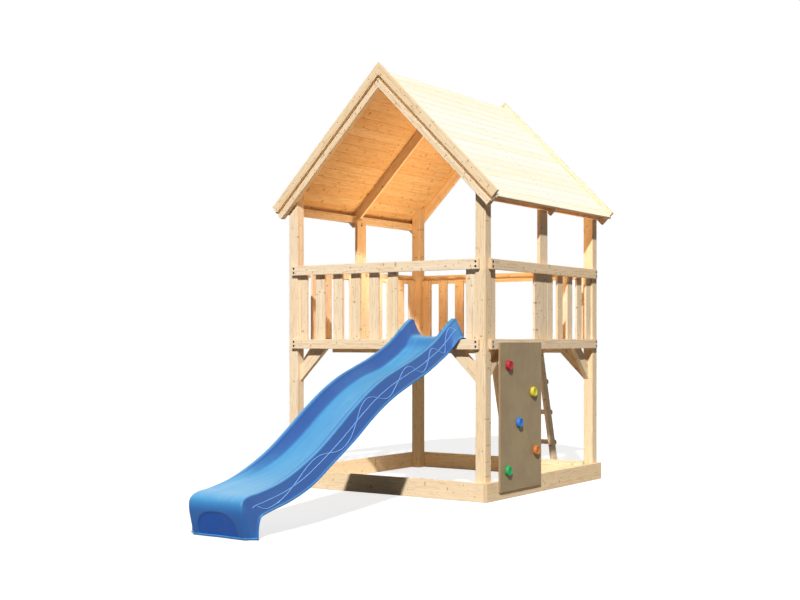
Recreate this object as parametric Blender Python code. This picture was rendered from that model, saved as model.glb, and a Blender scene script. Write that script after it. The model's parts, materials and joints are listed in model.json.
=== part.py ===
# Timber play tower with a wave slide, a climbing panel, a ladder and a gable roof.
# Metres, +Z up. The slide runs out towards -Y, the climbing panel is on the +X side
# and the ladder on the +Y side. X = 0 is the vertical plane through the roof ridge.
import math

import bmesh
import bpy
import numpy as np
from mathutils import Matrix, Vector

for stale in list(bpy.data.objects):
    bpy.data.objects.remove(stale, do_unlink=True)

# Fits
GAP = 0.0003  # face to face clearance between touching pieces
BITE = 0.0005  # overlap of the shapes that one Boolean joins

# Frame
HALF = 0.977  # half of the width over the corner posts
DEPTH = 2.0  # depth over the corner posts
POST = 0.09
BASE_T = 0.0305
BASE_H = 0.1475
RAIL_T = 0.028  # thickness of the planed boards of the frame
BEAM_TOP = 1.2636  # top of the platform beams
BEAM_H = 0.0808
HAND_RISE = 0.5448  # clear height from the beams to the handrails
HAND_H = 0.0823
LAP = 0.047  # where a rail stops short of the outer corner of a post

# Roof at 45 degrees; a level on the slope is its height plus the distance from the ridge
EAVES_Z = 2.493  # top of the roof boards over the outer faces of the posts
DECK_T = 0.0195
DECK_BOARD = 0.092
GROOVE = 0.0022
DECK_OVER = 0.130  # how far the roof boards run past the outer faces of the posts
VERGE = 0.030  # how far they run past the posts, front and back
RAFTER_W = 0.0841
RAFTER_OVER = 0.0475
FASCIA_W = 0.0703
FASCIA_PROUD = 0.0363  # how far the fascia stands above the roof boards
FASCIA_OVER = 0.091
LOWER_W = 0.0594
LOWER_DROP = 0.0481  # top of the second fascia below the top of the roof boards
LOWER_OVER = 0.045
PLATE_H = 0.062
PLATE_DROP = 0.0317  # top of a wall plate below the top of the rafters

# Fence
FENCE_SET = 0.016  # set back of the fence boards behind the faces of the posts
FENCE_T = 0.019
FENCE_W = 0.095
FENCE_DROP = 0.0736  # foot of the boards below the top of the beams
FENCE_RISE = 0.0336  # head of the boards above the underside of the handrails
BATTEN_LIFT = 0.005
BATTEN_H = 0.040
TOP_BATTEN_H = 0.030
MID_W = 0.134
MID_BACK = 0.0032  # the mid posts stand this far behind the middle of the tower
MID_NEAR_GAP = 0.0069
MID_FAR_GAP = 0.0005

# Platform floor
FLOOR_DROP = 0.0046  # top of the floor below the top of the beams
FLOOR_T = 0.019
FLOOR_BOARDS = 15
FLOOR_SLIT = 0.004
JOIST_H = 0.095
JOIST_FRONT = 0.590
JOIST_BACK = 0.560

# Knee braces, at 45 degrees
BRACE_SET = 0.040
BRACE_T = 0.045
BRACE_REACH = 0.3347
BRACE_V = 0.133  # height of the cut face against the post

# Climbing panel and holds
PANEL_T = 0.018
PANEL_NEAR = 0.150  # from the front faces of the posts
PANEL_W = 0.682
PANEL_LOW = 0.062
PANEL_DROP = 0.0266
HOLD_D = 0.084
HOLD_T = 0.038
HOLD_STEPS = 32
# Colour name, distance from the near edge and from the foot of the panel, colour
HOLDS = (
    ("red", 0.119, 0.995, (0.60, 0.03, 0.03)),
    ("yellow", 0.524, 0.772, (0.80, 0.50, 0.02)),
    ("blue", 0.287, 0.534, (0.03, 0.12, 0.42)),
    ("orange", 0.572, 0.292, (0.75, 0.20, 0.02)),
    ("green", 0.108, 0.164, (0.03, 0.30, 0.08)),
)

# Ladder
LADDER_LEAN = 0.28  # horizontal run per unit of height
LADDER_X = 0.0865
LADDER_WIDE = 0.535
LADDER_DROP = 0.0236
LADDER_W = 0.095
RUNG_T = 0.028
RUNG_H = 0.043
RUNG_DROP = 0.092  # from the head of the rails to the middle of the top rung
RUNG_STEP = 0.2927
RUNGS = 4

# Slide
SLIDE_IN = 0.440  # from the inner face of the right hand post to the centre line
SHELL = 0.005
RIM_OUT = 0.225
RIM_IN = 0.180
BED_HALF = 0.129
ROW_STEPS = 3  # rows of faces between two stations
SEAT_Z = 1.2639  # height of the seat edge for which the stations are drawn
# Each station: rim (y, z), lower lip (y, z), half width of the lip, depth of the bed below
# the rim and thickness of the skin behind the bed. From the platform down to the foot.
STATIONS = (
    (0.066, 1.435, 0.008, 1.265, 0.346, 0.155, 0.010),
    (0.000, 1.402, -0.038, 1.265, 0.332, 0.132, SHELL),
    (-0.100, 1.334, -0.096, 1.196, 0.300, 0.125, SHELL),
    (-0.200, 1.266, -0.150, 1.152, 0.292, 0.107, SHELL),
    (-0.300, 1.211, -0.230, 1.108, 0.290, 0.108, SHELL),
    (-0.500, 1.124, -0.450, 1.005, 0.290, 0.104, SHELL),
    (-0.700, 1.057, -0.653, 0.930, 0.290, 0.088, SHELL),
    (-0.900, 0.988, -0.832, 0.862, 0.290, 0.091, SHELL),
    (-1.100, 0.893, -0.998, 0.786, 0.290, 0.096, SHELL),
    (-1.300, 0.771, -1.170, 0.687, 0.290, 0.103, SHELL),
    (-1.500, 0.635, -1.372, 0.556, 0.290, 0.101, SHELL),
    (-1.700, 0.508, -1.603, 0.425, 0.290, 0.084, SHELL),
    (-1.900, 0.409, -1.840, 0.292, 0.290, 0.051, SHELL),
    (-2.100, 0.334, -2.060, 0.214, 0.290, 0.012, SHELL),
    (-2.300, 0.290, -2.280, 0.166, 0.290, 0.001, 0.010),
    (-2.420, 0.274, -2.362, 0.142, 0.290, 0.001, 0.032),
    (-2.478, 0.242, -2.378, 0.112, 0.288, 0.001, 0.034),
    (-2.489, 0.190, -2.383, 0.084, 0.286, 0.001, 0.034),
    (-2.474, 0.110, -2.385, 0.049, 0.285, 0.001, 0.034),
    (-2.444, 0.000, -2.385, 0.000, 0.285, 0.001, 0.030),
)
TONGUE_BACK = 0.130
END_WALL = 0.006
WING = 0.300  # half width beyond which the end stays in front of the fence boards
ARCH_HALF = 0.150
ARCH_TOP = 0.166
ARCH_LOW = 0.022
ARCH_DEEP = 0.011

materials = {}


def material(name, colour, roughness, metallic=0.0):
    """One Principled material per finish; colour is linear RGB."""
    if name not in materials:
        made = bpy.data.materials.new(name)
        made.use_nodes = True
        shader = made.node_tree.nodes["Principled BSDF"]
        shader.inputs["Base Color"].default_value = (*colour, 1.0)
        shader.inputs["Roughness"].default_value = roughness
        shader.inputs["Metallic"].default_value = metallic
        made.diffuse_color = (*colour, 1.0)
        materials[name] = made
    return materials[name]


SPRUCE = material("planed spruce", (0.78, 0.56, 0.34), 0.65)
SPRUCE_ROOF = material("spruce roof boards", (0.82, 0.70, 0.50), 0.70)
FILM_PLY = material("brown faced plywood", (0.26, 0.20, 0.12), 0.55)
BLUE_HDPE = material("blue polyethylene", (0.04, 0.16, 0.46), 0.35)


def place(name, mesh, finish, smooth_angle=None):
    """Links a mesh as an object whose origin is the centre of its bounds."""
    low = np.array([v.co[:] for v in mesh.vertices]).min(axis=0)
    high = np.array([v.co[:] for v in mesh.vertices]).max(axis=0)
    centre = Vector([float(c) for c in (low + high) / 2])
    mesh.transform(Matrix.Translation(-centre))
    made = bpy.data.objects.new(name, mesh)
    made.location = centre
    mesh.materials.append(finish)
    bpy.context.scene.collection.objects.link(made)
    if smooth_angle is not None:
        mesh.shade_smooth()
        mesh.set_sharp_from_angle(angle=math.radians(smooth_angle))
    return made


def box_into(bm, x, y, z):
    """Adds an axis aligned box given its three (low, high) ranges."""
    corners = [bm.verts.new((x[i], y[j], z[k])) for i in (0, 1) for j in (0, 1) for k in (0, 1)]
    quads = ((0, 1, 3, 2), (4, 6, 7, 5), (0, 4, 5, 1), (2, 3, 7, 6), (0, 2, 6, 4), (1, 5, 7, 3))
    for quad in quads:
        bm.faces.new([corners[i] for i in quad])


def mesh_from(bm, name):
    bmesh.ops.recalc_face_normals(bm, faces=bm.faces)
    mesh = bpy.data.meshes.new(name)
    bm.to_mesh(mesh)
    bm.free()
    return mesh


def box(name, x, y, z, finish=SPRUCE):
    bm = bmesh.new()
    box_into(bm, x, y, z)
    return place(name, mesh_from(bm, name), finish)


def prism_mesh(name, outline, axis, low, high):
    """Extrudes a flat outline along an axis: 'x' takes (y, z) points, 'y' takes (x, z)."""
    bm = bmesh.new()
    rings = []
    for level in (low, high):
        ring = []
        for a, b in outline:
            ring.append(bm.verts.new((level, a, b) if axis == "x" else (a, level, b)))
        rings.append(ring)
    count = len(outline)
    bm.faces.new(rings[0])
    bm.faces.new(rings[1][::-1])
    for i in range(count):
        j = (i + 1) % count
        bm.faces.new((rings[0][i], rings[0][j], rings[1][j], rings[1][i]))
    return mesh_from(bm, name)


def prism(name, outline, axis, low, high, finish=SPRUCE):
    return place(name, prism_mesh(name, outline, axis, low, high), finish)


def helper(name, mesh):
    """A cutter or an addition for a Boolean: never rendered."""
    made = bpy.data.objects.new(name, mesh)
    made.hide_render = True
    made.display_type = "WIRE"
    bpy.context.scene.collection.objects.link(made)
    return made


def boolean(target, other, operation):
    step = target.modifiers.new(other.name, "BOOLEAN")
    step.operation = operation
    step.solver = "EXACT"
    step.object = other
    other.parent = target
    other.matrix_parent_inverse = Matrix.Translation(-target.location)


def box_mesh(name, boxes):
    bm = bmesh.new()
    for x, y, z in boxes:
        box_into(bm, x, y, z)
    return mesh_from(bm, name)


def span(low, width):
    return (low, low + width)


# Levels that several pieces share
ROOT2 = math.sqrt(2.0)
SIDES = (("left", -1.0), ("right", 1.0))
inner = HALF - POST
beam_z = (BEAM_TOP - BEAM_H, BEAM_TOP)
hand_z = (BEAM_TOP + HAND_RISE, BEAM_TOP + HAND_RISE + HAND_H)
floor_z = BEAM_TOP - FLOOR_DROP
floor_low = floor_z - FLOOR_T
rail_out = GAP + RAIL_T
deck_top = EAVES_Z + HALF
rafter_top = deck_top - (DECK_T + GAP) * ROOT2
rafter_bottom = rafter_top - RAFTER_W * ROOT2

# Corner posts, their tops cut to the roof slope
cut = rafter_top - 4 * GAP
for end, y0 in (("front", 0.0), ("back", DEPTH - POST)):
    for side, sign in SIDES:
        outline = [
            (sign * HALF, 0.0),
            (sign * HALF, cut - HALF),
            (sign * inner, cut - inner),
            (sign * inner, 0.0),
        ]
        prism(f"post_{end}_{side}", outline, "y", y0, y0 + POST)

# Mid posts: planks in the line of the fence boards, from the platform beam to the roof
mid_out = HALF - FENCE_SET - BITE - GAP
mid_y = DEPTH / 2 + MID_BACK
for side, sign in SIDES:
    x = sorted((sign * mid_out, sign * (mid_out - RAIL_T)))
    y = (mid_y - MID_W / 2, mid_y + MID_W / 2)
    box(f"mid_post_{side}", x, y, (beam_z[0], rafter_bottom - mid_out - GAP))

# Platform beams and handrails, outside the posts
for label, z in (("beam", beam_z), ("handrail", hand_z)):
    across = (-HALF + LAP, HALF - LAP)
    along = (LAP, DEPTH - LAP)
    box(f"{label}_front", across, (-rail_out, -GAP), z)
    box(f"{label}_back", across, (DEPTH + GAP, DEPTH + rail_out), z)
    for side, sign in SIDES:
        x = sorted((sign * (HALF + GAP), sign * (HALF + rail_out)))
        box(f"{label}_{side}", x, along, z)

# Base boards round the foot of the tower
base_out = GAP + BASE_T
box("base_front", (-HALF, HALF), (-base_out, -GAP), (0.0, BASE_H))
box("base_back", (-HALF, HALF), (DEPTH + GAP, DEPTH + base_out), (0.0, BASE_H))
for side, sign in SIDES:
    x = sorted((sign * (HALF + GAP), sign * (HALF + base_out)))
    box(f"base_{side}", x, (-base_out, DEPTH + base_out), (0.0, BASE_H))

# Wall plates under the eaves
plate_top = rafter_top - (HALF + rail_out) - PLATE_DROP
for side, sign in SIDES:
    x = sorted((sign * (HALF + GAP), sign * (HALF + rail_out)))
    box(f"wall_plate_{side}", x, (0.0, DEPTH), (plate_top - PLATE_H, plate_top))


def slope_strip(top, width, over):
    """Outline in (x, z) of a board that lies along the right hand slope.

    top is its level on the slope and over is how far its lower edge runs past the posts.
    The outer end is cut square and the ridge end is cut plumb."""
    bottom = top - width * ROOT2
    middle = GAP / 2
    low_x = HALF + over
    high_x = low_x + width / ROOT2
    return [
        (middle, bottom - middle),
        (low_x, bottom - low_x),
        (high_x, top - high_x),
        (middle, top - middle),
    ]


def both_slopes(name, outline, y0, y1, finish=SPRUCE):
    made = []
    for side, sign in SIDES:
        turned = [(sign * x, z) for x, z in outline]
        made.append(prism(f"{name}_{side}", turned, "y", y0, y1, finish))
    return made


# Rafters; the middle pair is notched over the wall plates
rafter = slope_strip(rafter_top, RAFTER_W, RAFTER_OVER)
centre_y = DEPTH / 2
both_slopes("rafter_front", rafter, -VERGE + GAP, -GAP)
both_slopes("rafter_back", rafter, DEPTH + GAP, DEPTH + VERGE - GAP)
middle_pair = both_slopes("rafter_middle", rafter, centre_y - RAIL_T / 2, centre_y + RAIL_T / 2)
for (side, sign), beam in zip(SIDES, middle_pair):
    x = sorted((sign * HALF, sign * (HALF + rail_out + GAP)))
    y = (centre_y - RAIL_T, centre_y + RAIL_T)
    notch = box_mesh(f"notch_{side}", [(x, y, (plate_top - 2 * PLATE_H, plate_top + GAP))])
    boolean(beam, helper(f"notch_{side}", notch), "DIFFERENCE")

# Fascia boards on the front and back edges of the roof, and a second pair on the front
fascia = slope_strip(deck_top + FASCIA_PROUD * ROOT2, FASCIA_W, FASCIA_OVER)
both_slopes("fascia_front", fascia, -VERGE - rail_out, -VERGE - GAP)
both_slopes("fascia_back", fascia, DEPTH + VERGE + GAP, DEPTH + VERGE + rail_out)
lower = slope_strip(deck_top - LOWER_DROP * ROOT2, LOWER_W, LOWER_OVER)
both_slopes("lower_fascia_front", lower, -VERGE - rail_out, -VERGE)


def deck_outline():
    """Roof boards laid edge to edge: one sheet with a narrow groove at every joint."""
    middle = GAP / 2
    under = deck_top - DECK_T * ROOT2
    end_x = HALF + DECK_OVER
    low_x = end_x - DECK_T / ROOT2
    step = DECK_BOARD / ROOT2
    half_groove = GROOVE / ROOT2 / 2
    points = [(middle, under - middle), (low_x, under - low_x), (end_x, deck_top - end_x)]
    x = end_x - step
    while x > step / 2:
        points.append((x + half_groove, deck_top - x - half_groove))
        points.append((x - half_groove, deck_top - x - half_groove))
        points.append((x - half_groove, deck_top - x + half_groove))
        x -= step
    points.append((middle, deck_top - middle))
    return points


both_slopes("roof_deck", deck_outline(), -VERGE, DEPTH + VERGE, SPRUCE_ROOF)

# Knee braces, two on each side of the tower, between a post and the platform
foot_a = POST + GAP
head_z = floor_low - GAP
brace = [
    (foot_a, head_z - BRACE_REACH),
    (foot_a, head_z - BRACE_REACH + BRACE_V),
    (foot_a + BRACE_REACH - BRACE_V, head_z),
    (foot_a + BRACE_REACH, head_z),
]
for end, near in (("front", BRACE_SET), ("back", DEPTH - BRACE_SET - BRACE_T)):
    y = span(near, BRACE_T)
    for side, sign in SIDES:
        turned = [(sign * (HALF - a), z) for a, z in brace]
        prism(f"brace_{end}_{side}", turned, "y", *y)
for side, sign in SIDES:
    x = sorted((sign * (HALF - BRACE_SET), sign * (HALF - BRACE_SET - BRACE_T)))
    prism(f"brace_{side}_near", brace, "x", *x)
    prism(f"brace_{side}_far", [(DEPTH - a, z) for a, z in brace], "x", *x)

# Fences: boards nailed on two battens, one body on each side
board_in = FENCE_SET + FENCE_T
run_x = (-inner + GAP, inner - GAP)
run_y = (POST + GAP, DEPTH - POST - GAP)
near_run = (run_y[0], mid_y - MID_W / 2 - MID_NEAR_GAP)
far_run = (mid_y + MID_W / 2 + MID_FAR_GAP, run_y[1])
fence_z = (beam_z[1] - FENCE_DROP, hand_z[0] + FENCE_RISE)


def boards(run, steps, chosen):
    """Near edges of the chosen boards; the first and the last fill the ends of the run."""
    pitch = (run[1] - run[0] - FENCE_W) / steps
    return [run[0] + pitch * i for i in chosen]


slats = {
    "front": boards(run_x, 9, (0, 1, 2, 3, 4, 5, 9)),
    "back": boards(run_x, 9, (0, 1, 2, 3, 7, 8, 9)),
    "left": boards(near_run, 4, range(5)) + boards(far_run, 4, range(5)),
    "right": boards(near_run, 4, (0, 4)) + boards(far_run, 4, range(5)),
}
battens = (
    (fence_z[0] + BATTEN_LIFT, fence_z[0] + BATTEN_LIFT + BATTEN_H),
    (fence_z[1] - TOP_BATTEN_H, fence_z[1]),
)


def against(side, along, deep, z):
    """Box given along a side of the tower and inwards from the face of its posts."""
    if side == "front":
        return (along, deep, z)
    if side == "back":
        return (along, (DEPTH - deep[1], DEPTH - deep[0]), z)
    if side == "right":
        return ((HALF - deep[1], HALF - deep[0]), along, z)
    return ((-HALF + deep[0], -HALF + deep[1]), along, z)


for side, edges in slats.items():
    run = run_x if side in ("front", "back") else run_y
    strips = [against(side, run, (0.0, FENCE_SET + BITE), z) for z in battens]
    upright = (fence_z[0], fence_z[1] - BITE)
    planks = [against(side, span(e, FENCE_W), (FENCE_SET, board_in), upright) for e in edges]
    body = place(f"fence_{side}", box_mesh(f"fence_{side}", strips), SPRUCE)
    added = helper(f"fence_{side}_boards", box_mesh(f"fence_{side}_boards", planks))
    boolean(body, added, "UNION")

# Platform floor: boards on two joists, between the fences and the mid posts
floor_half = mid_out - RAIL_T - GAP
floor_pitch = (2 * floor_half + FLOOR_SLIT) / FLOOR_BOARDS
planks = []
for i in range(FLOOR_BOARDS):
    x0 = -floor_half + floor_pitch * i
    edge = i in (0, FLOOR_BOARDS - 1)
    end_y = POST if edge else board_in
    y = (end_y + FLOOR_SLIT / 2, DEPTH - end_y - FLOOR_SLIT / 2)
    planks.append(((x0, x0 + floor_pitch - FLOOR_SLIT), y, (floor_low, floor_z)))
joist_x = (-HALF + FENCE_SET + BITE + GAP, HALF - FENCE_SET - BITE - GAP)
joist_z = (floor_low - JOIST_H, floor_low + BITE)
joists = []
for y0 in (JOIST_FRONT, DEPTH - JOIST_BACK - RAIL_T):
    joists.append((joist_x, span(y0, RAIL_T), joist_z))
floor = place("platform_floor", box_mesh("platform_floor", joists), SPRUCE)
boolean(floor, helper("floor_boards", box_mesh("floor_boards", planks)), "UNION")

# Climbing panel against the base board, with five round holds
panel_x = HALF + GAP + BASE_T + GAP
panel_z = (PANEL_LOW, BEAM_TOP - PANEL_DROP)
box("climbing_panel", span(panel_x, PANEL_T), span(PANEL_NEAR, PANEL_W), panel_z, FILM_PLY)


def lathe(name, profile, finish, steps):
    """Turns (radius, height) points about the X axis."""
    bm = bmesh.new()
    rings = []
    for radius, height in profile:
        if radius < 1e-6:
            rings.append([bm.verts.new((height, 0.0, 0.0))])
            continue
        ring = []
        for i in range(steps):
            turn = 2 * math.pi * i / steps
            ring.append(bm.verts.new((height, radius * math.cos(turn), radius * math.sin(turn))))
        rings.append(ring)
    for first, second in zip(rings, rings[1:]):
        for i in range(steps):
            j = (i + 1) % steps
            if len(first) == 1:
                bm.faces.new((first[0], second[i], second[j]))
            elif len(second) == 1:
                bm.faces.new((first[i], second[0], first[j]))
            else:
                bm.faces.new((first[i], second[i], second[j], first[j]))
    return place(name, mesh_from(bm, name), finish, 35)


r = HOLD_D / 2
hold_profile = (
    (0.0, 0.0),
    (0.90 * r, 0.0),
    (r, 0.006),
    (r, 0.012),
    (0.96 * r, 0.020),
    (0.86 * r, 0.029),
    (0.70 * r, 0.035),
    (0.50 * r, HOLD_T),
    (0.30 * r, HOLD_T - 0.001),
    (0.26 * r, HOLD_T - 0.004),
    (0.26 * r, HOLD_T - 0.014),
    (0.0, HOLD_T - 0.014),
)
for colour_name, y, z, colour in HOLDS:
    finish = material(f"{colour_name} hold plastic", colour, 0.40)
    hold = lathe(f"hold_{colour_name}", hold_profile, finish, HOLD_STEPS)
    hold.location = (panel_x + PANEL_T + GAP + HOLD_T / 2, PANEL_NEAR + y, PANEL_LOW + z)

# Ladder: two leaning rails whose heads touch the back beam, and rungs on their outer side
slant = math.sqrt(1 + LADDER_LEAN**2)
reach = LADDER_W * slant
ladder_top = BEAM_TOP - LADDER_DROP
ladder_x = (LADDER_X - LADDER_WIDE / 2, LADDER_X + LADDER_WIDE / 2)


def ladder_y(z):
    """Front edge of the ladder rails at a height."""
    return DEPTH + rail_out + GAP + LADDER_LEAN * (ladder_top - z)


rail = [
    (ladder_y(0.0), 0.0),
    (ladder_y(0.0) + reach, 0.0),
    (ladder_y(ladder_top) + reach, ladder_top),
    (ladder_y(ladder_top), ladder_top),
]
for side, x0 in (("left", ladder_x[0]), ("right", ladder_x[1] - RAIL_T)):
    prism(f"ladder_rail_{side}", rail, "x", x0, x0 + RAIL_T)
lean = Vector((-LADDER_LEAN, 1.0)) / slant  # unit vector up the ladder, in (y, z)
out = Vector((1.0, LADDER_LEAN)) / slant  # unit vector away from the tower
for i in range(RUNGS):
    z = ladder_top - RUNG_DROP - RUNG_STEP * (RUNGS - 1 - i)
    centre = Vector((ladder_y(z) + reach, z)) + out * (GAP + RUNG_T / 2)
    corners = []
    for a, b in ((-1, -1), (1, -1), (1, 1), (-1, 1)):
        corner = centre + out * (a * RUNG_T / 2) + lean * (b * RUNG_H / 2)
        corners.append((corner.x, corner.y))
    prism(f"rung_{i + 1}", corners, "x", *ladder_x)


# Slide
def smooth_rows(stations, steps):
    """Rows on smooth curves through the stations, spaced by the length of the rim."""
    table = np.array(stations)
    runs = np.linalg.norm(np.diff(table[:, :2], axis=0), axis=1)
    t = np.concatenate([[0.0], np.cumsum(runs)])
    slopes = [(table[1] - table[0]) / runs[0]]
    for i in range(1, len(table) - 1):
        slopes.append((table[i + 1] - table[i - 1]) / (t[i + 1] - t[i - 1]))
    slopes.append((table[-1] - table[-2]) / runs[-1])
    rows = []
    for i, run in enumerate(runs):
        for k in range(steps):
            u = k / steps
            row = (2 * u**3 - 3 * u**2 + 1) * table[i] + (3 * u**2 - 2 * u**3) * table[i + 1]
            row = row + (u**3 - 2 * u**2 + u) * run * slopes[i]
            rows.append(row + (u**3 - u**2) * run * slopes[i + 1])
    return rows + [table[-1]]


def outer_wall(wall, deep, t):
    """Point at a fraction t of the way down the outer wall."""
    return (RIM_OUT + 0.003 + t * (wall - RIM_OUT - 0.003), 0.016 + t * (deep - 0.025))


def slide_section(lip, deep, bed, skin):
    """Half section as (half width, depth below the rim): top skin and under skin."""
    wall = lip - 0.012
    top = [
        (lip, deep),
        (lip, deep - 0.006),
        (wall, deep - 0.009),
        outer_wall(wall, deep, 0.72),
        outer_wall(wall, deep, 0.45),
        (RIM_OUT + 0.003, 0.016),
        (RIM_OUT - 0.0025, 0.005),
        (RIM_OUT - 0.011, 0.0),
        (RIM_IN + 0.014, 0.0),
        (RIM_IN + 0.005, 0.035 * bed),
        (RIM_IN, 0.16 * bed),
        (RIM_IN - 0.033, 0.78 * bed),
        (BED_HALF + 0.008, 0.91 * bed),
        (BED_HALF - 0.005, 0.98 * bed),
        (0.095, bed),
        (0.050, bed + 0.001),
        (0.0, bed + 0.0015),
    ]
    under = [
        (lip - 0.0165, deep),
        (lip - 0.0165, deep - 0.004),
        (wall - SHELL, deep - 0.010),
        (top[3][0] - SHELL, top[3][1]),
        (top[4][0] - SHELL, top[4][1]),
        (RIM_OUT + 0.003 - SHELL, max(0.018, skin + 0.007)),
        (RIM_OUT - 0.0025 - SHELL, max(0.0095, skin + 0.004)),
        (RIM_OUT - 0.0135, skin + 0.0005),
        (RIM_IN + 0.0165, skin),
        (RIM_IN + 0.0105, 0.035 * bed + skin),
        (RIM_IN + 0.0055, 0.16 * bed + skin * 0.9),
        (RIM_IN - 0.033 + 0.0045, 0.78 * bed + skin * 0.8),
        (BED_HALF + 0.010, 0.91 * bed + skin),
        (BED_HALF - 0.003, 0.98 * bed + skin),
        (0.095, bed + skin),
        (0.050, bed + 0.001 + skin),
        (0.0, bed + 0.0015 + skin),
    ]
    return top, under


def mirrored(half):
    """Left half, centre, right half."""
    return [(-w, d) for w, d in half] + [(w, d) for w, d in half[-2::-1]]


bm = bmesh.new()
slide_x = inner - SLIDE_IN
tongue_low = BEAM_TOP + GAP
back_limit = FENCE_SET - BITE
drop = tongue_low / SEAT_Z
grid_top = []
grid_under = []
rows = smooth_rows(STATIONS, ROW_STEPS)
for index, (ty, tz, ly, lz, lip, bed, skin) in enumerate(rows):
    rim = Vector((ty, tz * drop))
    down = Vector((ly, lz * drop)) - rim
    deep = down.length
    down.normalize()
    top, under = slide_section(lip, deep, bed, skin)
    for half, grid in ((top, grid_top), (under, grid_under)):
        line = []
        for w, d in mirrored(half):
            at = rim + down * d
            if index == 0 and abs(w) > WING:
                at.x = min(at.x, back_limit - END_WALL)
            line.append(Vector((slide_x + w, at.x, at.y)))
        grid.append(line)

# The platform end: a closed wall, and a tongue of solid plastic that reaches back over
# the floor between the walls
count = len(grid_top[0])
head_top = []
head_under = []
for at in grid_top[0]:
    w = abs(at.x - slide_x)
    t = min(max((RIM_IN + 0.014 - w) / (RIM_IN + 0.014 - BED_HALF), 0.0), 1.0)
    back = at.y + END_WALL + (TONGUE_BACK - END_WALL - at.y) * t
    back = min(back, back_limit) if w > WING else back
    head_top.append(Vector((at.x, back, max(at.z, tongue_low + END_WALL))))
    head_under.append(Vector((at.x, back, tongue_low)))
for j, step, inward in ((0, 1, 1.0), (-1, -1, -1.0)):
    head_top[j] = Vector((head_top[j].x, head_top[j + step].y, tongue_low))
    edge = grid_under[0][j].x
    for k in range(3):
        head_under[j + k * step].x = edge + inward * 0.003 * k
    head_under[j].y = head_top[j].y
tops = [head_top] + grid_top
unders = [head_under] + grid_under


def skin_faces(lines, flip):
    made = []
    for line in lines:
        made.append([bm.verts.new(p) for p in line])
    for a, b in zip(made, made[1:]):
        for j in range(count - 1):
            quad = (a[j], a[j + 1], b[j + 1], b[j])
            bm.faces.new(quad[::-1] if flip else quad)
    return made


upper = skin_faces(tops, False)
below = skin_faces(unders, True)
for a, b in zip(range(len(upper) - 1), range(1, len(upper))):
    bm.faces.new((upper[a][0], upper[b][0], below[b][0], below[a][0]))
    bm.faces.new((upper[b][-1], upper[a][-1], below[a][-1], below[b][-1]))
for j in range(count - 1):
    bm.faces.new((upper[0][j + 1], upper[0][j], below[0][j], below[0][j + 1]))
    bm.faces.new((upper[-1][j], upper[-1][j + 1], below[-1][j + 1], below[-1][j]))
bmesh.ops.triangulate(bm, faces=bm.faces)
slide = place("slide", mesh_from(bm, "slide"), BLUE_HDPE, 40)

# Arched recess in the front of the foot; its floor is parallel to the front face
front = [(row[1] * drop, row[0]) for row in rows if row[0] < STATIONS[-5][0]]
front.sort()
face_z = [z for z, y in front if z < ARCH_TOP + ARCH_LOW]
face_y = [y for z, y in front if z < ARCH_TOP + ARCH_LOW]
low_y, top_y = np.interp((ARCH_LOW, ARCH_TOP), face_z, face_y)
arch = [(slide_x - ARCH_HALF, ARCH_LOW), (slide_x + ARCH_HALF, ARCH_LOW)]
ARCH_STEPS = 20
for i in range(1, ARCH_STEPS):
    turn = math.pi * i / ARCH_STEPS
    up = ARCH_LOW + (ARCH_TOP - ARCH_LOW) * math.sin(turn)
    arch.append((slide_x + ARCH_HALF * math.cos(turn), up))
bm = bmesh.new()
outside = []
inside = []
for x, z in arch:
    share = (z - ARCH_LOW) / (ARCH_TOP - ARCH_LOW)
    outside.append(bm.verts.new((x, min(face_y) - 2 * ARCH_DEEP, z)))
    inside.append(bm.verts.new((x, low_y + share * (top_y - low_y) + ARCH_DEEP, z)))
bm.faces.new(outside)
bm.faces.new(inside[::-1])
for i in range(len(arch)):
    j = (i + 1) % len(arch)
    bm.faces.new((outside[i], outside[j], inside[j], inside[i]))
boolean(slide, helper("arch_recess", mesh_from(bm, "arch_recess")), "DIFFERENCE")
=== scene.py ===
# Timber play tower with a wave slide: the fine shape and the finish of every piece.
# Metres, +Z up. The slide runs towards -Y, the climbing panel is on +X, the ladder on +Y.
import json
import math
import random

import bmesh
import bpy
import numpy as np
from mathutils import Matrix, Vector

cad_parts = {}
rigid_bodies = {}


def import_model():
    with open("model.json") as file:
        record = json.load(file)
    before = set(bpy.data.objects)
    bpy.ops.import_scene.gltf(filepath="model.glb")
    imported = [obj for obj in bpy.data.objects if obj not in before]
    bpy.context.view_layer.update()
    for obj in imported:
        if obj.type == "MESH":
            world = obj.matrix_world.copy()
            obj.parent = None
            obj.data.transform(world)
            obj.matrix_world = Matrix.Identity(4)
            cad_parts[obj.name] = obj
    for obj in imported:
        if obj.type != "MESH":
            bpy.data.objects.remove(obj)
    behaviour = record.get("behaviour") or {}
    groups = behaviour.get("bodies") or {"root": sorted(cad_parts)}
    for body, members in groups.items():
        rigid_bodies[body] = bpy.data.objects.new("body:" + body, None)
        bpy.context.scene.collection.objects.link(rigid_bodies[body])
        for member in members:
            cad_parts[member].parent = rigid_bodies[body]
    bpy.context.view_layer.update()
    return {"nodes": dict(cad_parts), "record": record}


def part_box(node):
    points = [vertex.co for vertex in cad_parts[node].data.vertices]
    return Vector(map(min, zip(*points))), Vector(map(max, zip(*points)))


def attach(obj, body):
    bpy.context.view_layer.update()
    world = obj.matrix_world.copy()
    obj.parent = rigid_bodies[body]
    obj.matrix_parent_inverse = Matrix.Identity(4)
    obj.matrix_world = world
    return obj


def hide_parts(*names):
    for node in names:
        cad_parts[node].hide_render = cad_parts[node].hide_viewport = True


for stale in list(bpy.data.objects):
    bpy.data.objects.remove(stale, do_unlink=True)

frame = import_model()
slot_of = {row["node"]: row["material_slot"] for row in frame["record"]["subparts"]}

MM = 0.001
SIDES = (("left", -1.0), ("right", 1.0))

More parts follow.
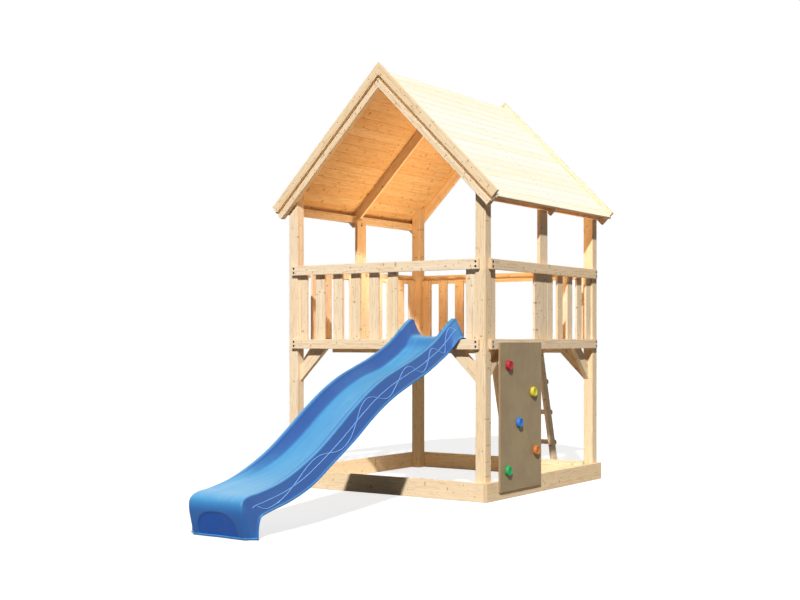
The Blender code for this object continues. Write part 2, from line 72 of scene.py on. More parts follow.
# Levels and faces of the tower, read from the frame
post_low, post_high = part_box("post_front_right")
HALF = post_high.x
POST = post_high.x - post_low.x
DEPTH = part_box("post_back_right")[1].y
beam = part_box("beam_front")
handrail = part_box("handrail_front")
RAIL_FACE = -handrail[0].y  # how far the rails and beams stand out from the posts
mid_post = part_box("mid_post_right")
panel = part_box("climbing_panel")

# Eased edges of the planed timber
EASE = 2.5 * MM
EASES = {"post": 4 * MM, "rung": 6 * MM, "ladder": 4 * MM, "base": 3 * MM, "mid": 1.2 * MM}

TOP_PLANED = 13 * MM  # planed off the top edge of the second gable boards

# Solids are copied with their triangles joined into whole faces
MERGE = 0.02 * MM
SAME_PLANE = math.radians(0.5)

# Fence boards
FENCE_SET = 16 * MM  # from the outer face of the posts in to the boards
FENCE_T = 19 * MM
FENCE_W = 95 * MM
FENCE_EASE = 1.6 * MM
BATTEN_T = 15.7 * MM
BATTEN_LIFT = 5 * MM  # the lower batten, above the bottom of the boards
BATTEN_H = 40 * MM
TOP_BATTEN_H = 30 * MM
FENCE_DROP = 0.5 * MM  # the boards end this far below the top batten's top
FRONT_STEPS = 9  # steps of the spacing from the first board of a run to the last
SIDE_STEPS = 4
MID_GAPS = (0.6 * MM, 0.5 * MM)  # before and behind a middle post

# Platform floor
FLOOR_BOARDS = 15
FLOOR_SLIT = 4 * MM  # between two boards
FLOOR_T = 19 * MM
JOISTS = (0.590, 1.412)  # front faces of the two joists
JOIST_T = 28 * MM
JOIST_GAP = 0.2 * MM  # under the floor boards

# Roof boards
ROOF_BOARD = 92 * MM
ROOF_T = 19.5 * MM
ROOF_JOINT = 0.7 * MM  # open joint between two boards
ROOF_V = 2.4 * MM  # chamfer of a joint on top
ROOF_V_UNDER = 1.1 * MM
GROOVE_HALF = 3 * MM
GROOVE_DEEP = 7 * MM
TONGUE_HALF = 2.6 * MM
TONGUE_OUT = 6 * MM
ROOF_FACING = 0.3  # a face that looks out of the slope more than this is its top
END_STRAY = 0.8 * MM  # most that a roof board falls short of its full length at an end

# Bolts, screws and nails
BOLT_IN = 72 * MM  # from the corner of the tower
BOLT_OFF = 18 * MM  # each bolt of a pair, above or below the middle of its board
MID_BOLT_DOWN = 45 * MM  # below the top of a middle post
SCREW_PAIR = (0.25, 0.75)  # shares of a board's width
JOIST_PAIR = (0.22, 0.78)
ROOF_NAIL_OUT = 14 * MM  # the end rows of roof nails, outside the posts
STRAY = 3 * MM  # most that a screw or roof nail strays from its row


def linear(code):
    """sRGB hex to linear RGBA."""
    parts = [int(code[i:i + 2], 16) / 255 for i in (0, 2, 4)]
    return [p / 12.92 if p <= 0.04045 else ((p + 0.055) / 1.055) ** 2.4 for p in parts] + [1.0]


def feed(tree, node, inputs):
    """Gives each named socket of a node its value, or links the socket that feeds it."""
    for key, value in dict(inputs).items():
        if isinstance(value, bpy.types.NodeSocket):
            tree.links.new(value, node.inputs[key])
        else:
            node.inputs[key].default_value = value


def add(tree, kind, inputs=(), out=0, stops=(), **settings):
    """Adds a shader node with its settings and inputs. stops are the (place, hex) pairs
    of a colour ramp. Returns the output called out."""
    made = tree.nodes.new("ShaderNode" + kind)
    for name, value in settings.items():
        setattr(made, name, value)
    feed(tree, made, inputs)
    for i, (place, code) in enumerate(stops):
        element = made.color_ramp.elements[i] if i < 2 else made.color_ramp.elements.new(place)
        element.position = place
        element.color = linear(code)
    return made.outputs[out]


def new_material(name):
    """A material with its node tree and the shader in it."""
    made = bpy.data.materials.new(name)
    made.use_nodes = True
    return made, made.node_tree, made.node_tree.nodes["Principled BSDF"]


RGB = {"out": 2, "data_type": "RGBA"}  # a Mix of two colours: sockets 0, 6 and 7
SOFT = {"interpolation_type": "SMOOTHSTEP"}  # a Map Range: value, from, to, results


def planed_spruce(name, pale, warm, late, knot, figure):
    """Planed spruce, untreated: pale early wood and narrow darker late wood of the year
    rings, small brown knots where branches ran out from the pith, resin streaks, matt.
    The grain attribute gives metres along the fibre and across it from the pith.
    knot and figure say how strongly the knots and the rings show."""
    made, tree, shader = new_material(name)
    ring = 4.2 * MM
    knot_step = (330 - 230 * knot) * MM  # length of stem between whorls of branches
    knot_least = 1.8 * MM
    knot_most = (3.4 + 7.4 * knot) * MM
    knot_curve = 2.1  # above 1, so that most knots are small
    aslant = 0.7  # knots are cut aslant, so they are longer across the board
    ragged = 3 * MM  # unevenness of a knot's outline
    ragged_size = 7 * MM
    wander = 16 * MM  # the rings stray this far from true circles
    bend = 4 * MM  # and this far round a knot
    fibre_size = 3.4 * MM
    streak_size = 9 * MM
    cloud_size = 75 * MM
    flow = 0.015  # figures are this much finer across the fibre than along it
    resin_brown = "b07a45"
    knot_rim = "a26c3c"
    knot_heart = "74492a"
    end_brown = "b58a5c"

    grain = add(tree, "Attribute", out="Vector", attribute_name="grain")
    tone = add(tree, "Attribute", out="Fac", attribute_name="tone")
    end = add(tree, "Attribute", out="Fac", attribute_name="end")
    along = add(tree, "SeparateXYZ", {0: grain}, out="X")
    across = add(tree, "VectorMath", {0: grain, 1: (0, 1, 1)}, operation="MULTIPLY")
    radius = add(tree, "VectorMath", {0: across}, out="Value", operation="LENGTH")
    spoke = add(tree, "VectorMath", {0: across}, operation="NORMALIZE")

    # Knots: one chance place per cell of stem, its true distance measured on the surface
    steps = add(tree, "Math", {0: along, 1: knot_step}, operation="DIVIDE")
    place = add(tree, "CombineXYZ", {0: steps})
    field = add(tree, "VectorMath", {0: spoke, 1: place}, operation="ADD")
    centre = add(tree, "TexVoronoi", {"Vector": field, "Scale": 1.0}, out="Position")
    chance = add(tree, "TexVoronoi", {"Vector": field, "Scale": 1.0}, out="Color")
    chance = add(tree, "SeparateColor", {0: chance})
    centre_step = add(tree, "SeparateXYZ", {0: centre}, out="X")
    gap = add(tree, "Math", {0: steps, 1: centre_step}, operation="SUBTRACT")
    gap = add(tree, "Math", {0: gap, 1: knot_step}, operation="MULTIPLY")
    centre_spoke = add(tree, "VectorMath", {0: centre, 1: (0, 1, 1)}, operation="MULTIPLY")
    centre_spoke = add(tree, "VectorMath", {0: centre_spoke}, operation="NORMALIZE")
    chord = add(tree, "VectorMath", {0: spoke, 1: centre_spoke}, out="Value", operation="DISTANCE")
    chord = add(tree, "Math", {0: chord, 1: radius}, operation="MULTIPLY")
    chord = add(tree, "Math", {0: chord, 1: aslant}, operation="MULTIPLY")
    reach = add(tree, "CombineXYZ", {0: gap, 1: chord})
    reach = add(tree, "VectorMath", {0: reach}, out="Value", operation="LENGTH")
    rough_edge = add(tree, "TexNoise", {"Vector": grain, "Scale": 1 / ragged_size})
    rough_edge = add(tree, "Math", {0: rough_edge, 1: ragged, 2: -ragged / 2}, operation="MULTIPLY_ADD")
    reach = add(tree, "Math", {0: reach, 1: rough_edge}, operation="ADD")
    size = add(tree, "Math", {0: chance, 1: knot_curve}, operation="POWER")
    size = add(tree, "MapRange", {0: size, 3: knot_least, 4: knot_most})
    near = add(tree, "Math", {0: reach, 1: size}, operation="DIVIDE")
    heart = add(tree, "MapRange", {0: near, 1: 0.75, 2: 1.05, 3: knot, 4: 0.0}, **SOFT)
    ringed = add(tree, "MapRange", {0: near, 1: 0.95, 2: 1.7, 3: 0.6 * knot, 4: 0.0}, **SOFT)
    halo = add(tree, "MapRange", {0: near, 1: 1.0, 2: 4.0, 3: 1.0, 4: 0.0}, **SOFT)

    # Year rings, bent round the knots
    drift = add(tree, "VectorMath", {0: grain, 1: (0.15, 1, 1)}, operation="MULTIPLY")
    drift = add(tree, "TexNoise", {"Vector": drift, "Scale": 7.0, "Detail": 2.0})
    drift = add(tree, "Math", {0: drift, 1: wander, 2: radius}, operation="MULTIPLY_ADD")
    drift = add(tree, "Math", {0: halo, 1: bend, 2: drift}, operation="MULTIPLY_ADD")
    rings = add(tree, "Math", {0: drift, 1: ring}, operation="DIVIDE")
    rings = add(tree, "Math", {0: rings}, operation="FRACT")
    ramp = ((0.0, "808080"), (0.12, "000000"), (0.5, "161616"), (0.93, "ffffff"), (1.0, "808080"))
    late_wood = add(tree, "ValToRGB", {0: rings}, stops=ramp)
    late_wood = add(tree, "Math", {0: late_wood, 1: figure}, operation="MULTIPLY")

    # Fibres, resin streaks and slow clouds of tone, all drawn out along the grain
    drawn = add(tree, "VectorMath", {0: grain, 1: (flow, 1, 1)}, operation="MULTIPLY")
    fibre = add(tree, "TexNoise", {"Vector": drawn, "Scale": 1 / fibre_size, "Detail": 3.0})
    resin = add(tree, "VectorMath", {0: grain, 1: (0.09, 1, 1)}, operation="MULTIPLY")
    resin = add(tree, "TexNoise", {"Vector": resin, "Scale": 1 / streak_size, "Detail": 2.0})
    resin = add(tree, "MapRange", {0: resin, 1: 0.53, 2: 0.68, 3: 0.0, 4: 0.6 * knot}, **SOFT)
    cloud = add(tree, "VectorMath", {0: grain, 1: (0.12, 1, 1)}, operation="MULTIPLY")
    cloud = add(tree, "TexNoise", {"Vector": cloud, "Scale": 1 / cloud_size, "Detail": 3.0})

    warmth = add(tree, "Math", {0: tone, 1: 0.7, 2: -0.4}, operation="MULTIPLY_ADD")
    warmth = add(tree, "Math", {0: cloud, 1: warmth}, operation="ADD", use_clamp=True)
    streak = add(tree, "MapRange", {0: fibre, 1: 0.35, 2: 0.75, 3: 0.0, 4: 0.5 * figure}, **SOFT)
    stain = add(tree, "Math", {0: halo, 1: 0.4 * knot}, operation="MULTIPLY")
    dull = add(tree, "Math", {0: end, 1: 0.3}, operation="MULTIPLY")
    colour = add(tree, "Mix", {0: warmth, 6: linear(pale), 7: linear(warm)}, **RGB)
    colour = add(tree, "Mix", {0: late_wood, 6: colour, 7: linear(late)}, **RGB)
    colour = add(tree, "Mix", {0: streak, 6: colour, 7: linear(late)}, **RGB)
    colour = add(tree, "Mix", {0: stain, 6: colour, 7: linear(late)}, **RGB)
    colour = add(tree, "Mix", {0: resin, 6: colour, 7: linear(resin_brown)}, **RGB)
    colour = add(tree, "Mix", {0: ringed, 6: colour, 7: linear(knot_rim)}, **RGB)
    colour = add(tree, "Mix", {0: heart, 6: colour, 7: linear(knot_heart)}, **RGB)
    colour = add(tree, "Mix", {0: dull, 6: colour, 7: linear(end_brown)}, **RGB)

    rough = add(tree, "MapRange", {0: fibre, 3: 0.52, 4: 0.72})
    relief = add(tree, "Math", {0: late_wood, 1: 0.7, 2: fibre}, operation="MULTIPLY_ADD")
    bump = add(tree, "Bump", {"Height": relief, "Strength": 0.5, "Distance": 0.3 * MM})
    feed(tree, shader, {"Base Color": colour, "Roughness": rough, "Normal": bump})
    feed(tree, shader, {"IOR": 1.5, "Specular IOR Level": 0.2})
    return made


def polyethylene(name, under, side, front, top, deepest):
    """Blow moulded polyethylene: a soft satin skin with the faint orange peel of the
    mould. The blue carries painted light and shade: painted shade deepens it at the front
    and darkens it underneath, and painted light pales it where it faces up. It is rubbed in
    long streaks where children slide. One attribute says where painted shade makes it
    deepest, another where painted light makes the shoulder of the foot paler."""
    made, tree, shader = new_material(name)
    peel_size = 7 * MM
    grit_size = 2.5 * MM  # coarser than real dust, so that it shows
    cloud_size = 140 * MM
    streak_size = 26 * MM
    rubbed = "84bde0"
    grey_dust = "b8d4e8"
    spot = add(tree, "TexCoord", out="Object")
    normal = add(tree, "TexCoord", out="Normal")
    level = add(tree, "SeparateXYZ", {0: normal}, out="Z")
    ahead = add(tree, "SeparateXYZ", {0: normal}, out="Y")
    cloud = add(tree, "TexNoise", {"Vector": spot, "Scale": 1 / cloud_size, "Detail": 3.0})
    shift = add(tree, "Math", {0: cloud, 1: 0.14, 2: -0.07}, operation="MULTIPLY_ADD")
    level = add(tree, "Math", {0: level, 1: shift}, operation="ADD")
    # Painted shade and light by the way each face looks: darker blue underneath, deeper blue at the
    # front, paler blue where it faces up
    low = add(tree, "MapRange", {0: level, 1: -0.6, 2: -0.1, 3: 1.0, 4: 0.0}, **SOFT)
    deep = add(tree, "MapRange", {0: ahead, 1: -0.95, 2: -0.35, 3: 1.0, 4: 0.0}, **SOFT)
    painted_top_light = add(tree, "MapRange", {0: level, 1: 0.36, 2: 1.04, 3: 0.0, 4: 1.0}, **SOFT)
    forwards = add(tree, "MapRange", {0: ahead, 1: -0.6, 2: -0.2, 3: 1.0, 4: 0.0}, **SOFT)
    slid = add(tree, "VectorMath", {0: spot, 1: (1.0, 0.05, 0.05)}, operation="MULTIPLY")
    slid = add(tree, "TexNoise", {"Vector": slid, "Scale": 1 / streak_size, "Detail": 3.0})
    slid = add(tree, "MapRange", {0: slid, 1: 0.5, 2: 0.75, 3: 0.0, 4: 0.24}, **SOFT)
    slid = add(tree, "Math", {0: slid, 1: painted_top_light}, operation="MULTIPLY")
    grit = add(tree, "TexNoise", {"Vector": spot, "Scale": 1 / grit_size, "Detail": 2.0})
    haze = add(tree, "MapRange", {0: grit, 1: 0.45, 2: 0.8, 3: 0.0, 4: 0.05}, **SOFT)
    colour = add(tree, "Mix", {0: deep, 6: linear(side), 7: linear(front)}, **RGB)
    colour = add(tree, "Mix", {0: low, 6: colour, 7: linear(under)}, **RGB)
    # Painted light: the shoulder of the foot is paler too, where it faces forwards
    painted_shoulder_light = add(tree, "Attribute", out="Fac", attribute_name="painted_shoulder_light")
    painted_shoulder_light = add(tree, "Math", {0: painted_shoulder_light, 1: forwards}, operation="MULTIPLY")
    painted_top_light = add(tree, "Math", {0: painted_top_light, 1: painted_shoulder_light}, operation="MAXIMUM")
    colour = add(tree, "Mix", {0: painted_top_light, 6: colour, 7: linear(top)}, **RGB)
    colour = add(tree, "Mix", {0: slid, 6: colour, 7: linear(rubbed)}, **RGB)
    # Painted shade: the deepest blue in the arch recess, along the crease inside the rim and on the lip
    painted_shade_share = add(tree, "Attribute", out="Fac", attribute_name="painted_shade_share")
    colour = add(tree, "Mix", {0: painted_shade_share, 6: colour, 7: linear(deepest)}, **RGB)
    colour = add(tree, "Mix", {0: haze, 6: colour, 7: linear(grey_dust)}, **RGB)
    rough = add(tree, "MapRange", {0: grit, 3: 0.36, 4: 0.52})
    peel = add(tree, "TexNoise", {"Vector": spot, "Scale": 1 / peel_size, "Detail": 1.0})
    bump = add(tree, "Bump", {"Height": peel, "Strength": 0.25, "Distance": 0.5 * MM})
    feed(tree, shader, {"Base Color": colour, "Roughness": rough, "Normal": bump})
    feed(tree, shader, {"IOR": 1.51, "Specular IOR Level": 0.3})
    return made


def grip_resin(name, body, dust):
    """Cast polyester resin with fine sand in it, as climbing grips are made: solid
    colour, satin, rough enough for small hands, a little paler where it is worn."""
    made, tree, shader = new_material(name)
    sand_size = 1.1 * MM
    worn_size = 22 * MM
    spot = add(tree, "TexCoord", out="Object")
    sand = add(tree, "TexNoise", {"Vector": spot, "Scale": 1 / sand_size, "Detail": 2.0})
    worn = add(tree, "TexNoise", {"Vector": spot, "Scale": 1 / worn_size, "Detail": 4.0})
    pale = add(tree, "MapRange", {0: worn, 1: 0.5, 2: 0.8, 3: 0.0, 4: 0.3}, **SOFT)
    speck = add(tree, "MapRange", {0: sand, 1: 0.5, 2: 0.9, 3: 0.0, 4: 0.3}, **SOFT)
    colour = add(tree, "Mix", {0: pale, 6: linear(body), 7: linear(dust)}, **RGB)
    colour = add(tree, "Mix", {0: speck, 6: colour, 7: linear(dust)}, **RGB)
    rough = add(tree, "MapRange", {0: sand, 3: 0.42, 4: 0.68})
    bump = add(tree, "Bump", {"Height": sand, "Strength": 0.4, "Distance": 0.35 * MM})
    feed(tree, shader, {"Base Color": colour, "Roughness": rough, "Normal": bump})
    feed(tree, shader, {"IOR": 1.54, "Specular IOR Level": 0.35})
    return made


def film_faced_ply(name, pale, dark):
    """Phenolic film on plywood, taupe: nearly matt, with the print of a wire mesh,
    faint cloudy changes of tone and a few short scuffs."""
    made, tree, shader = new_material(name)
    mesh_size = 2.5 * MM
    cloud_size = 190 * MM
    scuff_size = 6 * MM
    scuff_lean = 0.5
    scuff_stretch = 0.06  # scuffs are this much finer across than along
    scuffed = "cfc4aa"
    spot = add(tree, "TexCoord", out="Object")
    cloud = add(tree, "TexNoise", {"Vector": spot, "Scale": 1 / cloud_size, "Detail": 5.0})
    tone = add(tree, "MapRange", {0: cloud, 1: 0.3, 2: 0.7}, **SOFT)
    drawn = {0: spot, "Rotation": (scuff_lean, 0, 0), "Scale": (1, 1, scuff_stretch)}
    drawn = add(tree, "Mapping", drawn)
    scratch = add(tree, "TexNoise", {"Vector": drawn, "Scale": 1 / scuff_size, "Detail": 2.0})
    scuff = add(tree, "MapRange", {0: scratch, 1: 0.7, 2: 0.8, 3: 0.0, 4: 0.3}, **SOFT)
    colour = add(tree, "Mix", {0: tone, 6: linear(dark), 7: linear(pale)}, **RGB)
    colour = add(tree, "Mix", {0: scuff, 6: colour, 7: linear(scuffed)}, **RGB)
    flat = add(tree, "VectorMath", {0: spot, 1: (0, 1, 1)}, operation="MULTIPLY")
    weave = {"Vector": flat, "Scale": 1 / mesh_size, "Randomness": 0.1}
    weave = add(tree, "TexVoronoi", weave, out="Distance")
    bump = add(tree, "Bump", {"Height": weave, "Strength": 0.3, "Distance": 0.2 * MM})
    rough = add(tree, "MapRange", {0: cloud, 3: 0.46, 4: 0.62})
    feed(tree, shader, {"Base Color": colour, "Roughness": rough, "Normal": bump})
    feed(tree, shader, {"IOR": 1.5, "Specular IOR Level": 0.3})
    return made


def ply_edge(name, face_x):
    """Sawn edge of plywood: thin veneers, end grain and long grain by turns."""
    made, tree, shader = new_material(name)
    veneer = 1.4 * MM
    fibre_size = 8 * MM
    long_grain = "b69c7a"
    end_grain = "8f7554"
    stained = "755a3e"
    spot = add(tree, "TexCoord", out="Object")
    depth = add(tree, "SeparateXYZ", {0: spot}, out="X")
    depth = add(tree, "Math", {0: depth, 1: face_x}, operation="SUBTRACT")
    layer = add(tree, "Math", {0: depth, 1: 2 * veneer}, operation="DIVIDE")
    layer = add(tree, "Math", {0: layer}, operation="FRACT")
    layer = add(tree, "Math", {0: layer, 1: 0.5}, operation="SUBTRACT")
    layer = add(tree, "Math", {0: layer}, operation="ABSOLUTE")
    band = add(tree, "MapRange", {0: layer, 1: 0.2, 2: 0.3}, **SOFT)
    fibre = add(tree, "VectorMath", {0: spot, 1: (15, 1, 1)}, operation="MULTIPLY")
    fibre = add(tree, "TexNoise", {"Vector": fibre, "Scale": 1 / fibre_size, "Detail": 2.0})
    stain = add(tree, "MapRange", {0: fibre, 1: 0.4, 2: 0.8, 3: 0.0, 4: 0.35}, **SOFT)
    colour = add(tree, "Mix", {0: band, 6: linear(long_grain), 7: linear(end_grain)}, **RGB)
    colour = add(tree, "Mix", {0: stain, 6: colour, 7: linear(stained)}, **RGB)
    bump = add(tree, "Bump", {"Height": band, "Strength": 0.4, "Distance": 0.2 * MM})
    feed(tree, shader, {"Base Color": colour, "Roughness": 0.75, "Normal": bump})
    return made


def plated_steel(name, body, stain, least_rough):
    """Zinc plated and passivated steel: a dull metal skin with patchy colour."""
    made, tree, shader = new_material(name)
    patch_size = 3 * MM
    most_rough = least_rough + 0.2
    spot = add(tree, "TexCoord", out="Object")
    patch = add(tree, "TexNoise", {"Vector": spot, "Scale": 1 / patch_size, "Detail": 3.0})
    share = add(tree, "MapRange", {0: patch, 1: 0.4, 2: 0.7}, **SOFT)
    colour = add(tree, "Mix", {0: share, 6: linear(body), 7: linear(stain)}, **RGB)
    rough = add(tree, "MapRange", {0: patch, 3: least_rough, 4: most_rough})
    bump = add(tree, "Bump", {"Height": patch, "Strength": 0.3, "Distance": 0.1 * MM})
    feed(tree, shader, {"Base Color": colour, "Roughness": rough, "Normal": bump})
    feed(tree, shader, {"Metallic": 0.85})
    return made


SPRUCE = planed_spruce("planed_spruce", "feeccf", "f8ddb2", "dcb482", knot=0.42, figure=0.62)
KNOTTY_SPRUCE = planed_spruce("knotty_spruce", "fff2e0", "fde6ca", "e8c094", knot=1.0, figure=0.5)
# Roof boards: painted light makes their top faces nearly white, and painted warm bounce light makes
# their undersides amber
ROOF_SPRUCE = planed_spruce("painted_sunlit_spruce", "fdfaf0", "faf3d4", "e6dab8", knot=0.12, figure=0.22)
CEILING_SPRUCE = planed_spruce("painted_bounce_spruce", "f1d3a4", "e5b87d", "cb9258", knot=0.55, figure=0.5)
FILM = film_faced_ply("film_faced_plywood", "a8936f", "9a8564")
PLY_EDGE = ply_edge("plywood_edge", panel[0].x)
# Slide blue: colours for undersides, sides, fronts, up-facing faces and the deepest blue. Undersides,
# fronts and the deepest blue are painted shade, the up-facing colour is painted light.
BLUE = polyethylene("blue_polyethylene", "1d4382", "365c9c", "2763a6", "4fa0ce", "0a4a9c")
# A paler blue for the raised lines: a painted highlight where they catch the light
HIGHLIGHT_BLUE = polyethylene("highlight_blue_polyethylene", "4a74b8", "6d98dc", "6088cc", "8cbcec", "6088cc")
BLACK_STEEL = plated_steel("black_zinc_plated_steel", "2c2a27", "4a443c", least_rough=0.38)
BROWN_STEEL = plated_steel("yellow_zinc_plated_steel", "7a5a32", "4f3a22", least_rough=0.42)
GRIPS = {
    "red": grip_resin("red_grip_resin", "ac1f2c", "cc5f62"),
    "yellow": grip_resin("yellow_grip_resin", "d0c42e", "e6de86"),
    "blue": grip_resin("blue_grip_resin", "2c72c0", "80b0e2"),
    "orange": grip_resin("orange_grip_resin", "c07028", "dca070"),
    "green": grip_resin("green_grip_resin", "1d9a52", "76c79a"),
}


def placed(name, data):
    """A new object of the scene, at the origin."""
    made = bpy.data.objects.new(name, data)
    bpy.context.scene.collection.objects.link(made)
    return made


def finish_piece(name, bm, finishes, stands_for=(), smooth_angle=None):
    """Turns a bmesh into a piece of the object, in its place. stands_for names the solids
    that it replaces; bends sharper than smooth_angle, in degrees, stay sharp."""
    mesh = bpy.data.meshes.new(name)
    bm.to_mesh(mesh)
    bm.free()
    for finish in finishes:
        mesh.materials.append(finish)
    if smooth_angle is not None:
        mesh.shade_smooth()
        mesh.set_sharp_from_angle(angle=math.radians(smooth_angle))
    made = placed(name, mesh)
    if stands_for:
        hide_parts(*stands_for)
    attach(made, "root")
    return made


def timber_mesh():
    """An empty bmesh with the layers that the spruce finish reads."""
    bm = bmesh.new()
    bm.verts.layers.float_vector.new("grain")
    bm.verts.layers.float.new("tone")
    bm.faces.layers.float.new("end")
    return bm


STEM = 40.0  # metres of stem, out of which every stick is cut at a chance place
PITH_DEPTH = 0.6  # the pith lies off the middle by this share of the half thickness
PITH_MORE = (12 * MM, 60 * MM)  # and by this much more, from least to most
PITH_BESIDE = 0.7  # and sideways by this share of the half width, at most
END_FACING = 0.8  # a face that looks along the stick more than this is an end


def lay_grain(bm, verts, faces, along, broad, rng):
    """Writes the grain of one stick of timber: along is its length, broad its widest
    face's normal. The pith, from which the rings are drawn, lies at a chance place."""
    along = along.normalized()
    side = along.cross(broad).normalized()
    broad = side.cross(along)
    centre = sum((v.co for v in verts), Vector()) / len(verts)
    width = max(abs((v.co - centre).dot(side)) for v in verts)
    thick = max(abs((v.co - centre).dot(broad)) for v in verts)
    start = rng.uniform(0.0, STEM)
    pith_side = rng.uniform(-PITH_BESIDE, PITH_BESIDE) * width
    pith_deep = rng.choice((-1.0, 1.0)) * (PITH_DEPTH * thick + rng.uniform(*PITH_MORE))
    shade = rng.uniform(0.0, 1.0)
    grain = bm.verts.layers.float_vector["grain"]
    tone = bm.verts.layers.float["tone"]
    end = bm.faces.layers.float["end"]
    for v in verts:
        at = v.co - centre
        v[grain] = Vector((at.dot(along) + start, at.dot(side) + pith_side, at.dot(broad) + pith_deep))
        v[tone] = shade
    for f in faces:
        f[end] = 1.0 if abs(f.normal.dot(along)) > END_FACING else 0.0


def ease_edges(bm, edges, width):
    """Rounds edges a little, as planing and sanding do."""
    bmesh.ops.bevel(
        bm, geom=edges, offset=width, offset_type="OFFSET", affect="EDGES",
        segments=2, profile=0.5, material=-1, clamp_overlap=True,
    )


def longest(edges):
    """The run of the longest edge."""
    edge = max(edges, key=lambda e: e.calc_length())
    return edge.verts[1].co - edge.verts[0].co


def plane_top_edge(bm, sign):
    """Planes a second gable board down, so that a dark joint shows above it."""
    out = Vector((sign, 0.0, 1.0)).normalized()
    top = max(v.co.dot(out) for v in bm.verts)
    for v in bm.verts:
        if v.co.dot(out) > top - MM:
            v.co -= out * TOP_PLANED


def copy_solid(bm, node):
    """Copies the solid of a node into a bmesh, in whole faces."""
    bm.from_mesh(frame["nodes"][node].data)
    bmesh.ops.remove_doubles(bm, verts=bm.verts, dist=MERGE)
    bmesh.ops.dissolve_limit(
        bm, angle_limit=SAME_PLANE, use_dissolve_boundaries=False,
        verts=bm.verts, edges=bm.edges, delimit=set(),
    )


def timber(node):
    """A stick of timber from its solid: joined faces, eased edges and its own grain."""
    bm = timber_mesh()
    copy_solid(bm, node)
    if node.startswith("lower_fascia"):
        plane_top_edge(bm, 1.0 if node.endswith("right") else -1.0)
    bm.normal_update()
    along = longest(bm.edges)
    broad = max(bm.faces, key=lambda f: f.calc_area()).normal.copy()
    ease_edges(bm, list(bm.edges), EASES.get(node.split("_")[0], EASE))
    bm.normal_update()
    lay_grain(bm, list(bm.verts), list(bm.faces), along, broad, random.Random(node))
    for f in bm.faces:
        f.material_index = 0
        f.smooth = False
    finish = KNOTTY_SPRUCE if node.startswith("base_board") else SPRUCE
    finish_piece(node + "_timber", bm, [finish], [node])


def board(bm, low, high, along, rng, ease=EASE):
    """Adds one eased board between two corners."""
    old_verts = set(bm.verts)
    old_faces = set(bm.faces)
    low = Vector(low)
    high = Vector(high)
    size = high - low
    made = bmesh.ops.create_cube(bm, size=1.0)["verts"]
    bmesh.ops.transform(
        bm, verts=made, matrix=Matrix.Translation((low + high) / 2) @ Matrix.Diagonal((*size, 1.0))
    )
    ease_edges(bm, list({e for v in made for e in v.link_edges}), ease)
    verts = [v for v in bm.verts if v not in old_verts]
    faces = [f for f in bm.faces if f not in old_faces]
    for f in faces:
        f.normal_update()
    thin = min(range(3), key=lambda i: size[i])
    broad = Vector([1.0 if i == thin else 0.0 for i in range(3)])
    lay_grain(bm, verts, faces, Vector(along), broad, rng)


for node in sorted(frame["nodes"]):
    if slot_of[node] == "spruce" and not node.startswith(("fence", "platform")):
        timber(node)


# Fences: boards screwed on two battens
inner = HALF - POST
clear = 0.3 * MM
run_x = (-inner + clear, inner - clear)
run_y = (POST + clear, DEPTH - POST - clear)
near_run = (run_y[0], mid_post[0].y - MID_GAPS[0])
far_run = (mid_post[1].y + MID_GAPS[1], run_y[1])


def spaced(run, steps, chosen):
    """Near edges of the chosen boards; the first and the last fill the ends of the run."""
    pitch = (run[1] - run[0] - FENCE_W) / steps
    return [run[0] + pitch * i for i in chosen]


fence_boards = {
    "front": spaced(run_x, FRONT_STEPS, (0, 1, 2, 3, 4, 5, 9)),
    "back": spaced(run_x, FRONT_STEPS, (0, 1, 2, 3, 7, 8, 9)),
    "left": spaced(near_run, SIDE_STEPS, range(5)) + spaced(far_run, SIDE_STEPS, range(5)),
    "right": spaced(near_run, SIDE_STEPS, (0, 4)) + spaced(far_run, SIDE_STEPS, range(5)),
}


def against(side, along, deep, z):
    """Corners of a box given along a side of the tower and inwards from its posts."""
    if side == "front":
        ranges = (along, deep, z)
    elif side == "back":
        ranges = (along, (DEPTH - deep[1], DEPTH - deep[0]), z)
    elif side == "right":
        ranges = ((HALF - deep[1], HALF - deep[0]), along, z)
    else:
        ranges = ((-HALF + deep[0], -HALF + deep[1]), along, z)
    return [r[0] for r in ranges], [r[1] for r in ranges]


INWARD = {
    "front": Vector((0, 1, 0)),
    "back": Vector((0, -1, 0)),
    "left": Vector((1, 0, 0)),
    "right": Vector((-1, 0, 0)),
}
fence_low, fence_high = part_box("fence_front")
batten_levels = (
    (fence_low.z + BATTEN_LIFT, fence_low.z + BATTEN_LIFT + BATTEN_H),
    (fence_high.z - TOP_BATTEN_H, fence_high.z),
)
screws = []
for side, edges in fence_boards.items():
    rng = random.Random("fence " + side)
    bm = timber_mesh()
    run = run_x if side in ("front", "back") else run_y
    lengthways = (1, 0, 0) if side in ("front", "back") else (0, 1, 0)
    for z in batten_levels:
        low, high = against(side, run, (0.0, BATTEN_T), z)
        board(bm, low, high, lengthways, rng)
    for edge in edges:
        deep = (FENCE_SET, FENCE_SET + FENCE_T)
        z = (fence_low.z, fence_high.z - FENCE_DROP)
        low, high = against(side, (edge, edge + FENCE_W), deep, z)
        board(bm, low, high, (0, 0, 1), rng, FENCE_EASE)
        for level in batten_levels:
            for share in SCREW_PAIR:
                at = edge + FENCE_W * share
                middle = sum(level) / 2 + rng.uniform(-STRAY, STRAY)
                spot = against(side, (at, at), (deep[1], deep[1]), (middle, middle))[0]
                screws.append((Vector(spot), INWARD[side]))
    finish_piece(f"fence_{side}_boards", bm, [SPRUCE], [f"fence_{side}"])


